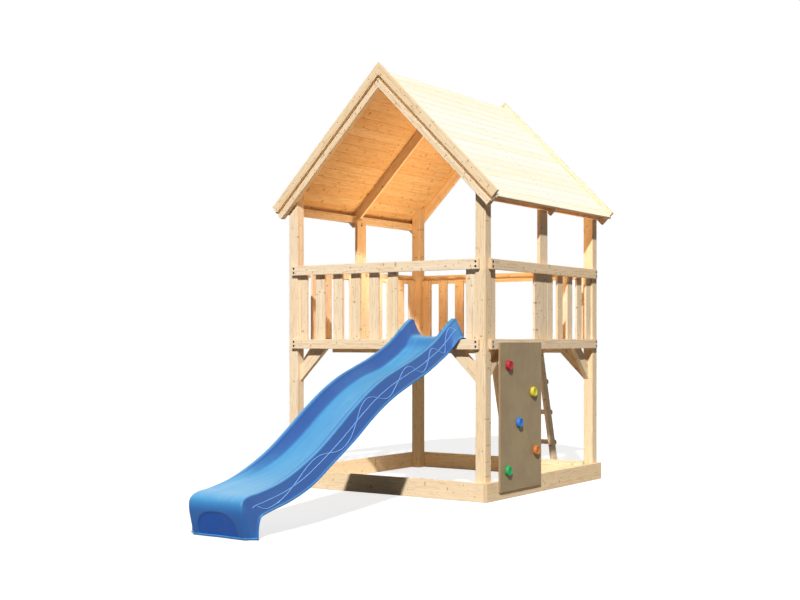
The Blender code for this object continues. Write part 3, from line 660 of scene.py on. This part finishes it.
# Platform floor: boards on two joists
rng = random.Random("platform floor")
floor_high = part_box("platform_floor")[1]
floor_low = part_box("platform_floor")[0]
floor_z = floor_high.z
floor_half = mid_post[0].x - clear
pitch = (2 * floor_half + FLOOR_SLIT) / FLOOR_BOARDS
bm = timber_mesh()
for i in range(FLOOR_BOARDS):
    x0 = -floor_half + pitch * i
    end_y = POST if i in (0, FLOOR_BOARDS - 1) else FENCE_SET + FENCE_T
    low = (x0, end_y + FLOOR_SLIT / 2, floor_z - FLOOR_T)
    high = (x0 + pitch - FLOOR_SLIT, DEPTH - end_y - FLOOR_SLIT / 2, floor_z)
    board(bm, low, high, (0, 1, 0), rng)
    for y0 in JOISTS:
        for share in JOIST_PAIR:
            x = x0 + (pitch - FLOOR_SLIT) * share
            screws.append((Vector((x, y0 + JOIST_T / 2, floor_z)), Vector((0, 0, 1))))
for y0 in JOISTS:
    low = (floor_low.x, y0, floor_low.z)
    high = (floor_high.x, y0 + JOIST_T, floor_z - FLOOR_T - JOIST_GAP)
    board(bm, low, high, (1, 0, 0), rng)
finish_piece("platform_floor_boards", bm, [SPRUCE], ["platform_floor"])


# Roof boards: tongued and grooved, with an open V at every joint
deck_low, deck_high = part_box("roof_deck_right")
deck_level = deck_high.z + deck_low.x  # where the top faces of the two slopes meet
eave_x = deck_high.x
slope_length = eave_x * math.sqrt(2.0)
ridge_gap = 0.2 * MM


def roof_board_outline(index, count):
    """Section of one roof board as (distance up the slope, depth from the top face)."""
    s0 = ROOF_BOARD * index + (ROOF_JOINT / 2 if index else 0.0)
    s1 = ROOF_BOARD * (index + 1) - ROOF_JOINT / 2
    v = ROOF_V
    u = ROOF_V_UNDER
    t = ROOF_T
    middle = t / 2
    outline = [(s0 + v, 0.0), (s0, -v)]
    if index:
        outline += [(s0, -middle + GROOVE_HALF), (s0 + GROOVE_DEEP, -middle + GROOVE_HALF)]
        outline += [(s0 + GROOVE_DEEP, -middle - GROOVE_HALF), (s0, -middle - GROOVE_HALF)]
    outline += [(s0, -t + u), (s0 + u, -t)]
    if index == count - 1:
        top = slope_length - ridge_gap
        return outline + [(top - t, -t), (top, 0.0)]
    outline += [(s1 - u, -t), (s1, -t + u), (s1, -middle - TONGUE_HALF)]
    outline += [(s1 + TONGUE_OUT, -middle - TONGUE_HALF), (s1 + TONGUE_OUT, -middle + TONGUE_HALF)]
    return outline + [(s1, -middle + TONGUE_HALF), (s1, -v), (s1 - v, 0.0)]


roof_nails = []
for side, sign in SIDES:
    rng = random.Random("roof " + side)
    eave = Vector((sign * eave_x, 0.0, deck_level - eave_x))
    up = Vector((-sign, 0.0, 1.0)).normalized()
    out = Vector((sign, 0.0, 1.0)).normalized()
    bm = timber_mesh()
    count = round(slope_length / ROOF_BOARD)
    for index in range(count):
        old_verts = set(bm.verts)
        old_faces = set(bm.faces)
        ends = (deck_low.y + rng.uniform(0, END_STRAY), deck_high.y - rng.uniform(0, END_STRAY))
        ring = []
        for s, depth in roof_board_outline(index, count):
            at = eave + up * s + out * depth
            ring.append(bm.verts.new((at.x, ends[0], at.z)))
        cap = bm.faces.new(ring)
        grown = bmesh.ops.extrude_face_region(bm, geom=[cap])["geom"]
        far = [g for g in grown if isinstance(g, bmesh.types.BMVert)]
        bmesh.ops.translate(bm, verts=far, vec=(0.0, ends[1] - ends[0], 0.0))
        verts = [v for v in bm.verts if v not in old_verts]
        faces = [f for f in bm.faces if f not in old_faces]
        bmesh.ops.recalc_face_normals(bm, faces=faces)
        lay_grain(bm, verts, faces, Vector((0, 1, 0)), out, rng)
        # Top faces take the nearly white spruce of painted light, undersides the amber of painted
        # bounce light, edges the plain spruce
        for f in faces:
            level = f.normal.dot(out)
            f.material_index = 0 if level > ROOF_FACING else 1 if level < -ROOF_FACING else 2
        for y in (-ROOF_NAIL_OUT, DEPTH / 2, DEPTH + ROOF_NAIL_OUT):
            for share in SCREW_PAIR:
                nail_y = y + rng.uniform(-STRAY, STRAY)
                s = ROOF_BOARD * (index + share)
                spot = eave + up * s
                roof_nails.append((Vector((spot.x, nail_y, spot.z)), out))
    name = f"roof_boards_{side}"
    finish_piece(name, bm, [ROOF_SPRUCE, CEILING_SPRUCE, SPRUCE], [f"roof_deck_{side}"])


TURNED_MERGE = 0.01 * MM


def turned(profile, steps):
    """Turns (radius, height) points about +Z into a closed shell."""
    bm = bmesh.new()
    verts = [bm.verts.new((radius, 0.0, height)) for radius, height in profile]
    edges = [bm.edges.new(pair) for pair in zip(verts, verts[1:])]
    bmesh.ops.spin(
        bm, geom=verts + edges, cent=(0, 0, 0), axis=(0, 0, 1), dvec=(0, 0, 0),
        angle=2 * math.pi, steps=steps, use_merge=True, use_normal_flip=False, use_duplicate=False,
    )
    bmesh.ops.remove_doubles(bm, verts=bm.verts, dist=TURNED_MERGE)
    bmesh.ops.recalc_face_normals(bm, faces=bm.faces)
    return bm


def facing(at, out):
    """Matrix that carries a turned piece from the origin to a place on a surface."""
    return Matrix.Translation(at) @ out.to_track_quat("Z", "Y").to_matrix().to_4x4()


def fasteners(name, places, profile, finish, steps):
    """One piece holding a row of equal heads."""
    one = turned([(r * MM, h * MM) for r, h in profile], steps)
    template = bpy.data.meshes.new(name + "_one")
    one.to_mesh(template)
    one.free()
    bm = bmesh.new()
    for at, out in places:
        start = len(bm.verts)
        bm.from_mesh(template)
        bm.verts.ensure_lookup_table()
        bmesh.ops.transform(bm, verts=bm.verts[start:], matrix=facing(at, out))
    bpy.data.meshes.remove(template)
    return finish_piece(name, bm, [finish], smooth_angle=35)


# Dome head on a washer, with a socket; sizes in millimetres
BOLT_HEAD = (
    (0.0, 2.2), (2.2, 2.2), (2.3, 4.6), (2.8, 5.0), (4.4, 4.7), (5.7, 3.8), (6.6, 2.6),
    (6.9, 1.5), (9.0, 1.5), (9.5, 1.1), (9.5, 0.0), (0.0, -0.5),
)
# Countersunk head, nearly flush, with a shallow socket; the fascia boards have it too
SCREW_HEAD = ((0.0, -0.6), (1.4, -0.5), (1.8, 0.5), (3.9, 0.4), (4.2, 0.0), (0.0, -1.5))
# Small nail head
NAIL_HEAD = ((0.0, 0.9), (2.6, 0.7), (3.6, 0.2), (3.6, -0.3), (0.0, -0.6))

frame_bolts = []
for box in (handrail, beam):
    middle = (box[0].z + box[1].z) / 2
    for z in (middle - BOLT_OFF, middle + BOLT_OFF):
        for sign in (-1, 1):
            x = sign * (HALF - BOLT_IN)
            frame_bolts.append((Vector((x, -RAIL_FACE, z)), Vector((0, -1, 0))))
            frame_bolts.append((Vector((x, DEPTH + RAIL_FACE, z)), Vector((0, 1, 0))))
            for y in (BOLT_IN, DEPTH - BOLT_IN):
                at = Vector((sign * (HALF + RAIL_FACE), y, z))
                frame_bolts.append((at, Vector((sign, 0, 0))))
mid_y = (mid_post[0].y + mid_post[1].y) / 2
for sign in (-1, 1):
    at = Vector((sign * mid_post[0].x, mid_y, mid_post[1].z - MID_BOLT_DOWN))
    frame_bolts.append((at, Vector((-sign, 0, 0))))
fasteners("frame_bolts", frame_bolts, BOLT_HEAD, BLACK_STEEL, steps=16)
fasteners("board_screws", screws, SCREW_HEAD, BROWN_STEEL, steps=8)
fasteners("roof_nails", roof_nails, NAIL_HEAD, BROWN_STEEL, steps=8)

# Nails of the fascia boards, in two staggered rows
FASCIA_STEP = 111 * MM
FASCIA_STRAY = 12 * MM
FASCIA_START = 30 * MM  # first nail from the ridge
FASCIA_STOP = 35 * MM  # least distance from the eaves
NAIL_ROWS = (0.38, 0.76)  # shares of the board's width, from its top edge
fascia_nails = []
for name, outwards in (("fascia_front", -1), ("fascia_back", 1), ("lower_fascia_front", -1)):
    for side, sign in SIDES:
        rng = random.Random(name + side)
        low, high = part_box(f"{name}_{side}")
        outer = max(abs(low.x), abs(high.x))
        drop = 2 * (high.z - low.z - outer)  # upright depth of the sloping board
        length = outer * math.sqrt(2.0)
        for i in range(int(length / FASCIA_STEP) + 1):
            along = FASCIA_START + FASCIA_STEP * i + rng.uniform(-FASCIA_STRAY, FASCIA_STRAY)
            if along > length - FASCIA_STOP:
                continue
            x = along / math.sqrt(2.0)
            z = high.z - drop * NAIL_ROWS[(i + 1) % 2] - x
            y = low.y if outwards < 0 else high.y
            fascia_nails.append((Vector((sign * x, y, z)), Vector((0, outwards, 0))))
fasteners("fascia_nails", fascia_nails, SCREW_HEAD, BROWN_STEEL, steps=10)

# Ladder screws, where the rungs cross the rails
LADDER_FACE = Vector((0.0, 1.0, 0.28)).normalized()  # the way in which the rungs face
RUNG_OUT = 14 * MM  # from the middle of a rung to its face
RUNGS = 4
ladder_screws = []
for i in range(RUNGS):
    low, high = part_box(f"rung_{i + 1}")
    middle = Vector((0.0, (low.y + high.y) / 2, (low.z + high.z) / 2))
    face = middle + LADDER_FACE * RUNG_OUT
    for side in ("left", "right"):
        rail_low, rail_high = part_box(f"ladder_rail_{side}")
        x = (rail_low.x + rail_high.x) / 2
        ladder_screws.append((Vector((x, face.y, face.z)), LADDER_FACE))
fasteners("ladder_screws", ladder_screws, SCREW_HEAD, BLACK_STEEL, steps=12)


# Climbing panel: film on both broad faces, bare plies on the edges
PANEL_EASE = 1.2 * MM
bm = bmesh.new()
copy_solid(bm, "climbing_panel")
bm.normal_update()
for f in bm.faces:
    f.material_index = 0 if abs(f.normal.x) > 0.5 else 1
ease_edges(bm, list(bm.edges), PANEL_EASE)
finish_piece("climbing_panel_board", bm, [FILM, PLY_EDGE], ["climbing_panel"])

# Holds: turned grips, each with a sunk bolt; sizes in millimetres
HOLD_PROFILE = (
    (0.0, 19.0), (6.6, 19.0), (6.6, 24.0), (7.6, 24.9), (22.0, 25.2), (25.2, 26.2),
    (27.0, 28.4), (28.6, 30.2), (31.0, 31.0), (33.6, 30.4), (36.2, 28.4), (38.6, 24.6),
    (40.4, 19.0), (41.6, 12.5), (42.0, 8.0), (41.8, 5.2), (40.6, 2.6), (38.4, 0.9),
    (37.0, 0.3), (0.0, 0.3),
)
HOLD_SEAT = 19.6  # height of the bolt in its recess
HOLD_BOLT_HEAD = [(r * 0.62, h * 0.8) for r, h in BOLT_HEAD]  # smaller and flatter
HOLD_SMOOTH = 40  # degrees: sharper bends than this stay sharp
hold_bolts = []
for colour_name, finish in GRIPS.items():
    low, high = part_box(f"hold_{colour_name}")
    centre = Vector((low.x, (low.y + high.y) / 2, (low.z + high.z) / 2))
    bm = turned([(r * MM, h * MM) for r, h in HOLD_PROFILE], steps=48)
    bmesh.ops.transform(bm, verts=bm.verts, matrix=facing(centre, Vector((1, 0, 0))))
    name = f"hold_{colour_name}_grip"
    finish_piece(name, bm, [finish], [f"hold_{colour_name}"], HOLD_SMOOTH)
    hold_bolts.append((centre + Vector((HOLD_SEAT * MM, 0, 0)), Vector((1, 0, 0))))
fasteners("hold_bolts", hold_bolts, HOLD_BOLT_HEAD, BLACK_STEEL, steps=20)


# Slide: the stations of its profile, as on the drawing of the shell. Each station is the
# rim (y, z), the lower lip (y, z), the half width of the lip and the depth of the bed.
RIM_OUT = 0.225  # half widths of the rim and of the bed
RIM_IN = 0.180
BED_HALF = 0.129
SLIDE_IN = 0.440  # from the right front post in to the middle of the slide
SEAT_Z = 1.2639  # underside of the tongue on the drawing; the heights are scaled to fit
STATIONS = (
    (0.066, 1.435, 0.008, 1.265, 0.346, 0.155),
    (0.000, 1.402, -0.038, 1.265, 0.332, 0.132),
    (-0.100, 1.334, -0.096, 1.196, 0.300, 0.125),
    (-0.200, 1.266, -0.150, 1.152, 0.292, 0.107),
    (-0.300, 1.211, -0.230, 1.108, 0.290, 0.108),
    (-0.500, 1.124, -0.450, 1.005, 0.290, 0.104),
    (-0.700, 1.057, -0.653, 0.930, 0.290, 0.088),
    (-0.900, 0.988, -0.832, 0.862, 0.290, 0.091),
    (-1.100, 0.893, -0.998, 0.786, 0.290, 0.096),
    (-1.300, 0.771, -1.170, 0.687, 0.290, 0.103),
    (-1.500, 0.635, -1.372, 0.556, 0.290, 0.101),
    (-1.700, 0.508, -1.603, 0.425, 0.290, 0.084),
    (-1.900, 0.409, -1.840, 0.292, 0.290, 0.051),
    (-2.100, 0.334, -2.060, 0.214, 0.290, 0.012),
    (-2.300, 0.290, -2.280, 0.166, 0.290, 0.001),
    (-2.420, 0.274, -2.362, 0.142, 0.290, 0.001),
    (-2.478, 0.242, -2.378, 0.112, 0.288, 0.001),
    (-2.489, 0.190, -2.383, 0.084, 0.286, 0.001),
    (-2.474, 0.110, -2.385, 0.049, 0.285, 0.001),
    (-2.444, 0.000, -2.385, 0.000, 0.285, 0.001),
)
WALL_T = 4.2 * MM
END_WALL = 6 * MM
WALL_TOP = (RIM_OUT + 0.003, 0.016)  # top of the outer wall: half width, depth
WALL_FOOT = (0.012, 0.009)  # its foot, in from the edge of the lip and up from it
FLAT_IN = RIM_IN + 0.014  # half width at which the flat top of the rim ends
TONGUE_BACK = 0.130
TONGUE_GAP = 0.4 * MM  # over the platform beam
WING = 0.300  # wider than this, the head stays in front of the fence boards
HEAD_ROUND = 0.022  # rounding of the rims at the very top
HEAD_SHAVE = 0.8  # share of a true quarter round that is taken off there
HEAD_ROWS = (0.12, 0.3, 0.55)  # extra rows of points, as shares of that rounding
END_WALL_ROWS = (0.0, 0.33, 0.66, 0.96)
TONGUE_ROWS = (0.04, 0.35, 0.7, 0.97)
BED_HOLLOW = 5 * MM  # the middle of the bed, below its sides
ARCH_HALF = 0.178
ARCH_TOP = 0.170
ARCH_EDGE = 12 * MM
ARCH_DEEP = 7 * MM
ARCH_POWER = 2.6  # fuller than an ellipse, which has 2
FOOT_TOP = 0.268
SHOULDER_LIGHT_FROM = 0.165  # height on the front of the foot at which the painted light on the shoulder begins
SHOULDER_LIGHT_CURVE = 1.5  # above 1, so that the painted light on the shoulder grows slowly at first
BELOW_HEAD = -0.1  # the painted shade on the crease and the lip begins here, in front of the posts
CREASE = (0.184, 0.200)  # half widths between which painted shade makes the inner edge of the rim deep blue
# share of the deepest blue, painted shade, on the crease
CREASE_DEEP = 0.6
CREASE_FADE = 0.35  # length over which that line fades out above the foot
LIP_FROM = 0.281  # half width at which the lip begins
# share of the deepest blue, painted shade, on the lip
LIP_DEEP = 0.7
ROW_STEP = 17 * MM
FOOT_FROM = 2.70  # length of the rim at which the finer rows of the foot begin
FOOT_STEP = 5 * MM

slide_x = inner - SLIDE_IN
tongue_low = beam[1].z + clear
to_fit = tongue_low / SEAT_Z
back_limit = FENCE_SET - 0.5 * MM  # just clear of the fence boards
table = np.array(STATIONS)
spans = np.linalg.norm(np.diff(table[:, :2], axis=0), axis=1)
knots = np.concatenate([[0.0], np.cumsum(spans)])
slopes = [(table[1] - table[0]) / spans[0]]
for i in range(1, len(table) - 1):
    slopes.append((table[i + 1] - table[i - 1]) / (knots[i + 1] - knots[i - 1]))
slopes.append((table[-1] - table[-2]) / spans[-1])


def curve(u, start, end, leaving, arriving):
    """The place at share u of a smooth curve between two points with known directions."""
    at = (2 * u**3 - 3 * u**2 + 1) * start + (3 * u**2 - 2 * u**3) * end
    return at + (u**3 - 2 * u**2 + u) * leaving + (u**3 - u**2) * arriving


def station(s):
    """The station at a length of rim, on a smooth curve through the drawn ones."""
    i = min(max(int(np.searchsorted(knots, s, side="right")) - 1, 0), len(spans) - 1)
    u = (s - knots[i]) / spans[i]
    return curve(u, table[i], table[i + 1], spans[i] * slopes[i], spans[i] * slopes[i + 1])


def wall_point(lip, deep, share):
    """A point on the outer wall as (half width, depth below the rim)."""
    wide, low = WALL_TOP
    run = lip - WALL_FOOT[0] - wide
    fall = deep - WALL_FOOT[1] - low
    return (wide + share * run, low + share * fall)


def half_section(lip, deep, bed):
    """Drawn points of half a section as (half width, depth below the rim, steps to the
    next point), from the lip up the outer wall, over the rim and down into the bed."""
    return (
        (lip - 0.004, deep, 2),
        (lip, deep - 0.006, 3),
        (*wall_point(lip, deep, 1.0), 4),
        (*wall_point(lip, deep, 0.72), 4),
        (*wall_point(lip, deep, 0.45), 6),
        (*WALL_TOP, 3),
        (RIM_OUT - 0.0025, 0.005, 3),
        (RIM_OUT - 0.011, 0.0, 4),
        (FLAT_IN, 0.0, 3),
        (RIM_IN + 0.005, 0.035 * bed, 3),
        (RIM_IN, 0.16 * bed, 8),
        (RIM_IN - 0.033, 0.78 * bed, 4),
        (BED_HALF + 0.008, 0.91 * bed, 3),
        (BED_HALF - 0.005, 0.98 * bed, 5),
        (0.095, bed, 7),
        (0.050, bed + 0.7 * BED_HOLLOW, 8),
        (0.0, bed + BED_HOLLOW, 0),
    )


def through(points):
    """Points on a smooth curve through the drawn ones, with gentle corners."""
    made = []
    last = len(points) - 1
    for i in range(last):
        p0 = np.array(points[max(i - 1, 0)][:2])
        p1 = np.array(points[i][:2])
        p2 = np.array(points[i + 1][:2])
        p3 = np.array(points[min(i + 2, last)][:2])
        run = np.linalg.norm(p2 - p1)
        m1 = (p2 - p0) / max(np.linalg.norm(p1 - p0) + run, 1e-6) * run
        m2 = (p3 - p1) / max(run + np.linalg.norm(p3 - p2), 1e-6) * run
        for k in range(points[i][2]):
            made.append(curve(k / points[i][2], p1, p2, m1, m2))
    return made + [np.array(points[-1][:2])]


def axes_at(s):
    """Rim point, unit vector down to the lip, depth of the lip, lip and bed at a length."""
    ty, tz, ly, lz, lip, bed = station(s)
    rim = Vector((0.0, ty, tz * to_fit))
    down = Vector((0.0, ly, lz * to_fit)) - rim
    deep = down.length
    return rim, down.normalized(), deep, lip, bed


def section_line(s):
    """The whole top skin at one length of rim, from the left lip to the right."""
    rim, down, deep, lip, bed = axes_at(s)
    half = through(half_section(lip, deep, bed))
    line = [(-w, d) for w, d in half] + [(w, d) for w, d in half[-2::-1]]
    short = max(HEAD_ROUND - s, 0.0)
    shaved = HEAD_SHAVE * (HEAD_ROUND - math.sqrt(HEAD_ROUND**2 - short**2))
    made = []
    for w, d in line:
        at = rim + down * max(d, shaved)
        if s <= 0.0 and abs(w) > WING:
            at.y = min(at.y, back_limit - END_WALL)
        made.append(Vector((slide_x + w, at.y, at.z)))
    return made


def head_lines(first):
    """Rows behind the first section: the end wall, and the tongue over the floor."""
    top = []
    for at in first:
        w = abs(at.x - slide_x)
        t = min(max((FLAT_IN - w) / (FLAT_IN - BED_HALF), 0.0), 1.0)
        back = at.y + END_WALL + (TONGUE_BACK - END_WALL - at.y) * t
        back = min(back, back_limit) if w > WING else back
        top.append(Vector((at.x, back, max(at.z, tongue_low + END_WALL))))
    foot = [Vector((at.x, at.y, tongue_low + TONGUE_GAP)) for at in top]
    lines = [[a.lerp(b, share) for a, b in zip(foot, top)] for share in END_WALL_ROWS]
    return lines + [[a.lerp(b, share) for a, b in zip(top, first)] for share in TONGUE_ROWS]


def arch_recess(at):
    """How far the front of the foot is pressed in at a point."""
    side = abs(at.x - slide_x) / ARCH_HALF
    high = max(at.z, 0.0) / ARCH_TOP
    outline = (side**ARCH_POWER + high**ARCH_POWER) ** (1 / ARCH_POWER)
    inside = min(max((1.0 - outline) * ARCH_TOP / ARCH_EDGE, 0.0), 1.0)
    return ARCH_DEEP * inside * inside * (3 - 2 * inside)


lengths = []
for a, b in zip(knots, knots[1:]):
    steps = math.ceil((b - a) / (FOOT_STEP if a > FOOT_FROM else ROW_STEP))
    lengths += [a + (b - a) * k / steps for k in range(steps)]
lengths.append(knots[-1])
lengths = sorted(lengths + [HEAD_ROUND * share for share in HEAD_ROWS])
lines = [section_line(s) for s in lengths]
lines = head_lines(lines[0]) + lines


def laid_over(bm, rows):
    """Lays a grid of faces over rows of points."""
    columns = len(rows[0]) - 1
    last = len(rows) - 1
    grid = bmesh.ops.create_grid(bm, x_segments=columns, y_segments=last, size=1.0)
    for v in grid["verts"]:
        row = round((v.co.y + 1) / 2 * last)
        column = round((v.co.x + 1) / 2 * columns)
        v.co = rows[row][column]


bm = bmesh.new()
painted_shade_share = bm.verts.layers.float.new("painted_shade_share")
painted_shoulder_light = bm.verts.layers.float.new("painted_shoulder_light")
laid_over(bm, lines)
front_of_foot = axes_at(FOOT_FROM)[0].y
# Painted shade: the arch recess, the crease inside the rim and the lip get the deepest blue. Painted
# light: higher up the front of the foot, the shoulder is paler.
for v in bm.verts:
    w = abs(v.co.x - slide_x)
    if CREASE[0] < w < CREASE[1] and front_of_foot < v.co.y < BELOW_HEAD:
        v[painted_shade_share] = CREASE_DEEP * min((v.co.y - front_of_foot) / CREASE_FADE, 1.0)
    if v.co.y < front_of_foot:
        inwards = arch_recess(v.co)
        v[painted_shade_share] = inwards / ARCH_DEEP
        v.co.y += inwards
        risen = (v.co.z - SHOULDER_LIGHT_FROM) / (FOOT_TOP - SHOULDER_LIGHT_FROM)
        v[painted_shoulder_light] = min(max(risen, 0.0), 1.0) ** SHOULDER_LIGHT_CURVE
    elif v.co.y < BELOW_HEAD and w > LIP_FROM:
        v[painted_shade_share] = LIP_DEEP
bm.normal_update()
up_facing = sum(f.normal.z * f.calc_area() for f in bm.faces)
if up_facing < 0:
    bmesh.ops.reverse_faces(bm, faces=bm.faces)
shell = finish_piece("slide_shell", bm, [BLUE], ["slide"], smooth_angle=48)
wall = shell.modifiers.new("wall", "SOLIDIFY")
wall.thickness = WALL_T
wall.offset = -1.0

# Raised lines on both outer walls: one along the middle, and a wave that crosses it
LINE_SHARE = 0.45  # place of the middle line between the rim and the lip
LINE_ENDS = (0.05, 2.80)  # lengths of the rim
LINE_POINTS = 230
LINE_R = 3.7 * MM
BEAD_MERGE = 0.05 * MM
WAVE_CROSSINGS = (0.08, 0.27, 0.40, 0.547, 0.732, 0.970, 1.292, 1.609, 1.967, 2.372, 2.747)
WAVE_REACH = 0.42  # share of the wall's depth
WAVE_LEAN = 0.13 / 0.33  # how far the lobes lean down the slide
WAVE_STEPS = 28


def on_wall(s, share, sign):
    """Point of the outer wall at a length of rim and a share of its depth."""
    rim, down, deep, lip, bed = axes_at(s)
    w, d = wall_point(lip, deep, share)
    at = rim + down * d
    return Vector((slide_x + sign * w, at.y, at.z))


def bead(bm, path, radius, sides=8):
    """A round bead along a path, drawn to a point at both ends."""
    rows = []
    last = len(path) - 1
    for i, at in enumerate(path):
        ahead = path[min(i + 1, last)] - path[max(i - 1, 0)]
        turn = ahead.to_track_quat("Z", "X").to_matrix()
        thick = 0.0 if i in (0, last) else radius
        angles = [2 * math.pi * k / sides for k in range(sides + 1)]
        rows.append([at + turn @ Vector((math.cos(a), math.sin(a), 0.0)) * thick for a in angles])
    laid_over(bm, rows)


def finish_beads(name, bm, finish):
    """Closes the seams of the beads and makes them a piece of the slide."""
    bmesh.ops.remove_doubles(bm, verts=bm.verts, dist=BEAD_MERGE)
    bmesh.ops.recalc_face_normals(bm, faces=bm.faces)
    finish_piece(name, bm, [finish], smooth_angle=60)


bm = bmesh.new()
for sign in (-1.0, 1.0):
    straight = [on_wall(s, LINE_SHARE, sign) for s in np.linspace(*LINE_ENDS, LINE_POINTS)]
    bead(bm, straight, LINE_R)
    wave = []
    for i, (a, b) in enumerate(zip(WAVE_CROSSINGS, WAVE_CROSSINGS[1:])):
        lobe = 1.0 if i % 2 == 0 else -1.0
        for k in range(WAVE_STEPS):
            t = k / WAVE_STEPS
            share = LINE_SHARE - lobe * WAVE_REACH * math.sin(math.pi * t)
            s = a + (b - a) * (t + WAVE_LEAN * (share - LINE_SHARE))
            wave.append(on_wall(s, share, sign))
    bead(bm, wave, LINE_R)
# The raised lines are paler blue, a painted highlight
finish_beads("slide_raised_lines", bm, HIGHLIGHT_BLUE)

# Flange round the bottom of the foot
FLANGE_R = 7.5 * MM
bm = bmesh.new()
foot = [at + Vector((0, 0, FLANGE_R)) for at in section_line(knots[-1])[2:-2]]
bead(bm, foot, FLANGE_R, sides=10)
finish_beads("slide_foot_flange", bm, BLUE)

# Two bolts hold the tongue of the slide down on the platform
TONGUE_BOLT_X = 0.09
TONGUE_BOLT_Y = 0.085
tongue_bolts = []
for x in (-TONGUE_BOLT_X, TONGUE_BOLT_X):
    at = Vector((slide_x + x, TONGUE_BOLT_Y, tongue_low + END_WALL))
    tongue_bolts.append((at, Vector((0, 0, 1))))
fasteners("tongue_bolts", tongue_bolts, BOLT_HEAD, BLACK_STEEL, steps=20)

# Floor and background
FLOOR_REACH = 40.0
FLOOR_DOWN = 0.5 * MM  # just under the feet
SAND = linear("ecdcc2")
SAND_LIGHT = 0.26  # light that the warm ground inside the base throws up
BASE_NEAR = (0.4, 1.6)  # distances from the base over which the ground gets darker
SHOWN_GREY = 0.34  # what the camera sees: a grey that takes the shadow, and a glow
SHOWN_GLOW = 0.78


def pale_floor():
    """A pale floor, white to the camera, that keeps the object's shadow. For the light
    that it throws back it is dull, with a warm patch like sand inside the base."""
    made, tree, shader = new_material("pale_floor")
    tree.nodes.remove(shader)
    spot = add(tree, "TexCoord", out="Object")
    offset = add(tree, "VectorMath", {0: spot, 1: (0, DEPTH / 2, 0)}, operation="SUBTRACT")
    offset = add(tree, "VectorMath", {0: offset}, operation="ABSOLUTE")
    across = add(tree, "SeparateXYZ", {0: offset}, out="X")
    along = add(tree, "SeparateXYZ", {0: offset}, out="Y")
    edge = add(tree, "Math", {0: across, 1: along}, operation="MAXIMUM")
    inside = add(tree, "Math", {0: edge, 1: HALF}, operation="LESS_THAN")
    near = add(tree, "MapRange", {0: edge, 1: HALF + BASE_NEAR[0], 2: HALF + BASE_NEAR[1]}, **SOFT)
    thrown = add(tree, "Mix", {0: near, 6: linear("88847e"), 7: linear("5c5a5c")}, **RGB)
    thrown = add(tree, "Mix", {0: inside, 6: thrown, 7: SAND}, **RGB)
    lit = add(tree, "BsdfDiffuse", {"Color": thrown})
    # The sand patch also glows a little: painted light, unseen by the camera, that lights the base from
    # below
    sand_glow = add(tree, "Math", {0: inside, 1: SAND_LIGHT}, operation="MULTIPLY")
    sand_glow = add(tree, "Emission", {"Color": SAND, "Strength": sand_glow})
    lit = add(tree, "AddShader", {0: lit, 1: sand_glow})
    shown = add(tree, "BsdfDiffuse", {"Color": (SHOWN_GREY, SHOWN_GREY, SHOWN_GREY, 1.0)})
    glow = add(tree, "Emission", {"Color": (1.0, 1.0, 1.0, 1.0), "Strength": SHOWN_GLOW})
    both = add(tree, "AddShader", {0: shown, 1: glow})
    camera_ray = add(tree, "LightPath", out="Is Camera Ray")
    glossy_ray = add(tree, "LightPath", out="Is Glossy Ray")
    seen = add(tree, "Math", {0: camera_ray, 1: glossy_ray}, operation="MAXIMUM")
    mixed = add(tree, "MixShader", {0: seen, 1: lit, 2: both})
    tree.links.new(mixed, tree.nodes["Material Output"].inputs["Surface"])
    return made


bm = bmesh.new()
bmesh.ops.create_grid(bm, x_segments=1, y_segments=1, size=FLOOR_REACH)
bmesh.ops.translate(bm, verts=bm.verts, vec=(0.0, 0.0, -FLOOR_DOWN))
floor_mesh = bpy.data.meshes.new("floor")
bm.to_mesh(floor_mesh)
bm.free()
floor_mesh.materials.append(pale_floor())
placed("floor", floor_mesh)

# A faint warm studio all round, white where the camera or a reflection sees it
world = bpy.data.worlds.new("studio")
bpy.context.scene.world = world
world.use_nodes = True
tree = world.node_tree
tree.nodes.remove(tree.nodes["Background"])
soft = add(tree, "Background", {"Color": (1.0, 0.96, 0.90, 1.0), "Strength": 0.085})
white = add(tree, "Background", {"Color": (1.0, 1.0, 1.0, 1.0), "Strength": 1.0})
seen = 0.0
for ray in ("Is Camera Ray", "Is Glossy Ray", "Is Transmission Ray"):
    ray = add(tree, "LightPath", out=ray)
    seen = add(tree, "Math", {0: ray, 1: seen}, operation="MAXIMUM")
mixed = add(tree, "MixShader", {0: seen, 1: soft, 2: white})
tree.links.new(mixed, tree.nodes["World Output"].inputs["Surface"])


def sun(name, strength, width, stands):
    """A sun in the direction stands, as wide as so many degrees of sky."""
    data = bpy.data.lights.new(name, "SUN")
    data.energy = strength
    data.angle = math.radians(width)
    placed(name, data).rotation_euler = Vector(stands).to_track_quat("Z", "Y").to_euler()


# The sun at the front right, and a wide soft light from behind on the left
sun("key", strength=4.1, width=1.6, stands=(0.57, -1.0, 0.88))
sun("fill", strength=1.2, width=90.0, stands=(-0.75, 1.0, 0.6))

# The warm light that the sunny platform throws up under the roof
bounce_data = bpy.data.lights.new("bounce", "AREA")
bounce_data.shape = "RECTANGLE"
bounce_data.size = 1.2
bounce_data.size_y = 0.6
bounce_data.spread = math.radians(135.0)
bounce_data.energy = 17.5
bounce_data.color = (1.0, 0.74, 0.42)
bounce = placed("bounce", bounce_data)
bounce.location = (0.0, 1.26, floor_z + 0.02)
bounce.rotation_euler = (math.pi, 0.0, 0.0)
bounce.visible_camera = False
bounce.visible_glossy = False

# Camera at the photograph's place
camera_data = bpy.data.cameras.new("camera")
camera_data.lens = 56.13
camera_data.sensor_width = 36.0
camera_data.shift_y = 0.0497
camera = placed("camera", camera_data)
camera.location = (5.8603, -8.361, 1.2586)
camera.rotation_euler = (math.radians(90.0), 0.0, math.radians(34.20))
bpy.context.scene.camera = camera
bpy.context.scene.view_settings.view_transform = "Standard"

bpy.context.view_layer.update()
